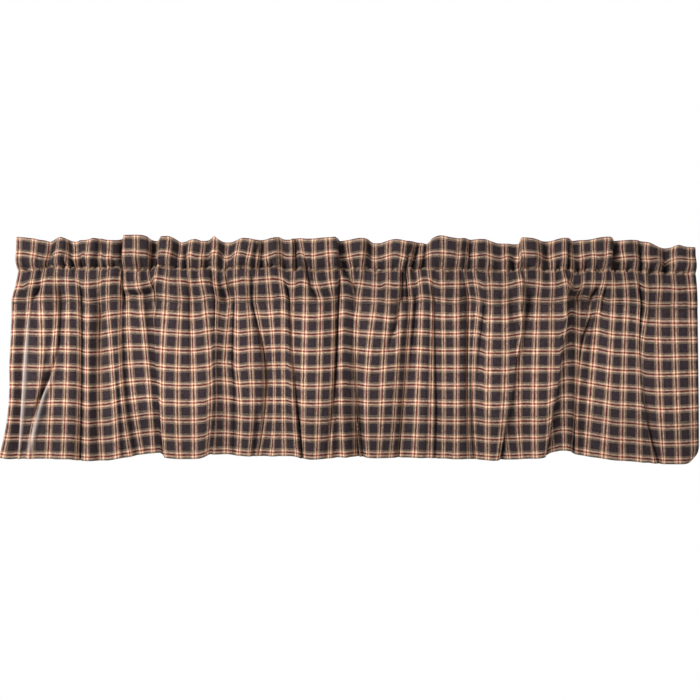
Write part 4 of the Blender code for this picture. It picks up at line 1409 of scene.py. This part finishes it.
def sewing_thread():
    """Matt spun thread, with its twist."""
    recipe = Recipe("sewing_thread", Metallic=0.0, Specular_IOR_Level=0.25)
    places = recipe.add("ShaderNodeTexCoord", {}, output="Object")
    fuzz = recipe.add("ShaderNodeTexNoise", {"Vector": places, "Scale": 900.0, "Detail": 2.0})
    colour = recipe.mix(fuzz, (*srgb(116, 98, 84), 1.0), (*srgb(196, 176, 152), 1.0))
    bump = recipe.add("ShaderNodeBump", {"Height": fuzz, "Strength": 0.4, "Distance": 0.0001})
    return recipe.finish(Base_Color=colour, Roughness=0.8, Normal=bump)


# The studio: how far below the rod its floor lies, its light all round, and in watts its light from
# the upper left in front and from the right behind.
FLOOR_BELOW = 1.15
ROOM_LIGHT = 0.5
KEY_LIGHT = 74
BACK_LIGHT = 40


def make_camera():
    """The camera faces the cloth level, and sees a width of it at the rod's distance."""
    distance = 2.2
    width_seen = 1.248
    height = -0.1141
    film_width = 36
    bpy.ops.object.camera_add(location=(0, -distance, height), rotation=(math.pi / 2, 0, 0))
    camera = bpy.context.object
    camera.data.sensor_width = film_width
    camera.data.lens = film_width * distance / width_seen
    bpy.context.scene.camera = camera


def make_studio():
    """A pale floor well below, soft light all round and a broad soft light in front and behind."""
    deselect()
    bpy.ops.mesh.primitive_plane_add(size=1, location=(0, 0, -FLOOR_BELOW))
    floor = bpy.context.object
    floor.name = "floor"
    floor.scale = (3.2, 2.4, 1)
    pale = Recipe("pale_floor", Roughness=0.8)
    floor.data.materials.append(pale.finish(Base_Color=(0.82, 0.81, 0.79, 1)))
    world = bpy.data.worlds.new("studio")
    bpy.context.scene.world = world
    world.use_nodes = True
    nodes = world.node_tree.nodes
    links = world.node_tree.links
    backdrop = nodes["Background"]
    backdrop.inputs["Color"].default_value = (1, 1, 1, 1)
    room = nodes.new("ShaderNodeBackground")
    room.inputs["Color"].default_value = (1, 1, 1, 1)
    room.inputs["Strength"].default_value = ROOM_LIGHT
    rays = nodes.new("ShaderNodeLightPath")
    choice = nodes.new("ShaderNodeMixShader")
    links.new(rays.outputs["Is Camera Ray"], choice.inputs[0])
    links.new(room.outputs[0], choice.inputs[1])
    links.new(backdrop.outputs[0], choice.inputs[2])
    links.new(choice.outputs[0], nodes["World Output"].inputs["Surface"])
    for place, energy in (((-1.7, -2.0, 0.9), KEY_LIGHT), ((1.5, 2.3, 0.7), BACK_LIGHT)):
        bpy.ops.object.light_add(type="AREA", location=place)
        light = bpy.context.object
        light.data.size = 1.2
        light.data.energy = energy
        aim = Vector((0, 0, -0.1)) - light.location
        light.rotation_euler = aim.to_track_quat("-Z", "Y").to_euler()
    bpy.context.scene.view_settings.view_transform = "Standard"


deselect()
check = woven_check()
heading_cloth, heading_stitches = make_heading()
drop_cloth, drop_stitches = make_drop()
stitching = make_stitches(heading_stitches + drop_stitches)
stitching.data.materials.append(sewing_thread())
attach(stitching, "root")
for piece, node, length in (
    (heading_cloth, "heading", (2 * SEAM_2 + TURNED_UNDER) * CHECK),
    (drop_cloth, "drop", (DROP + HEM) * CHECK),
):
    piece.data.materials.append(check)
    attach(piece, "root")
    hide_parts(node)
make_camera()
make_studio()
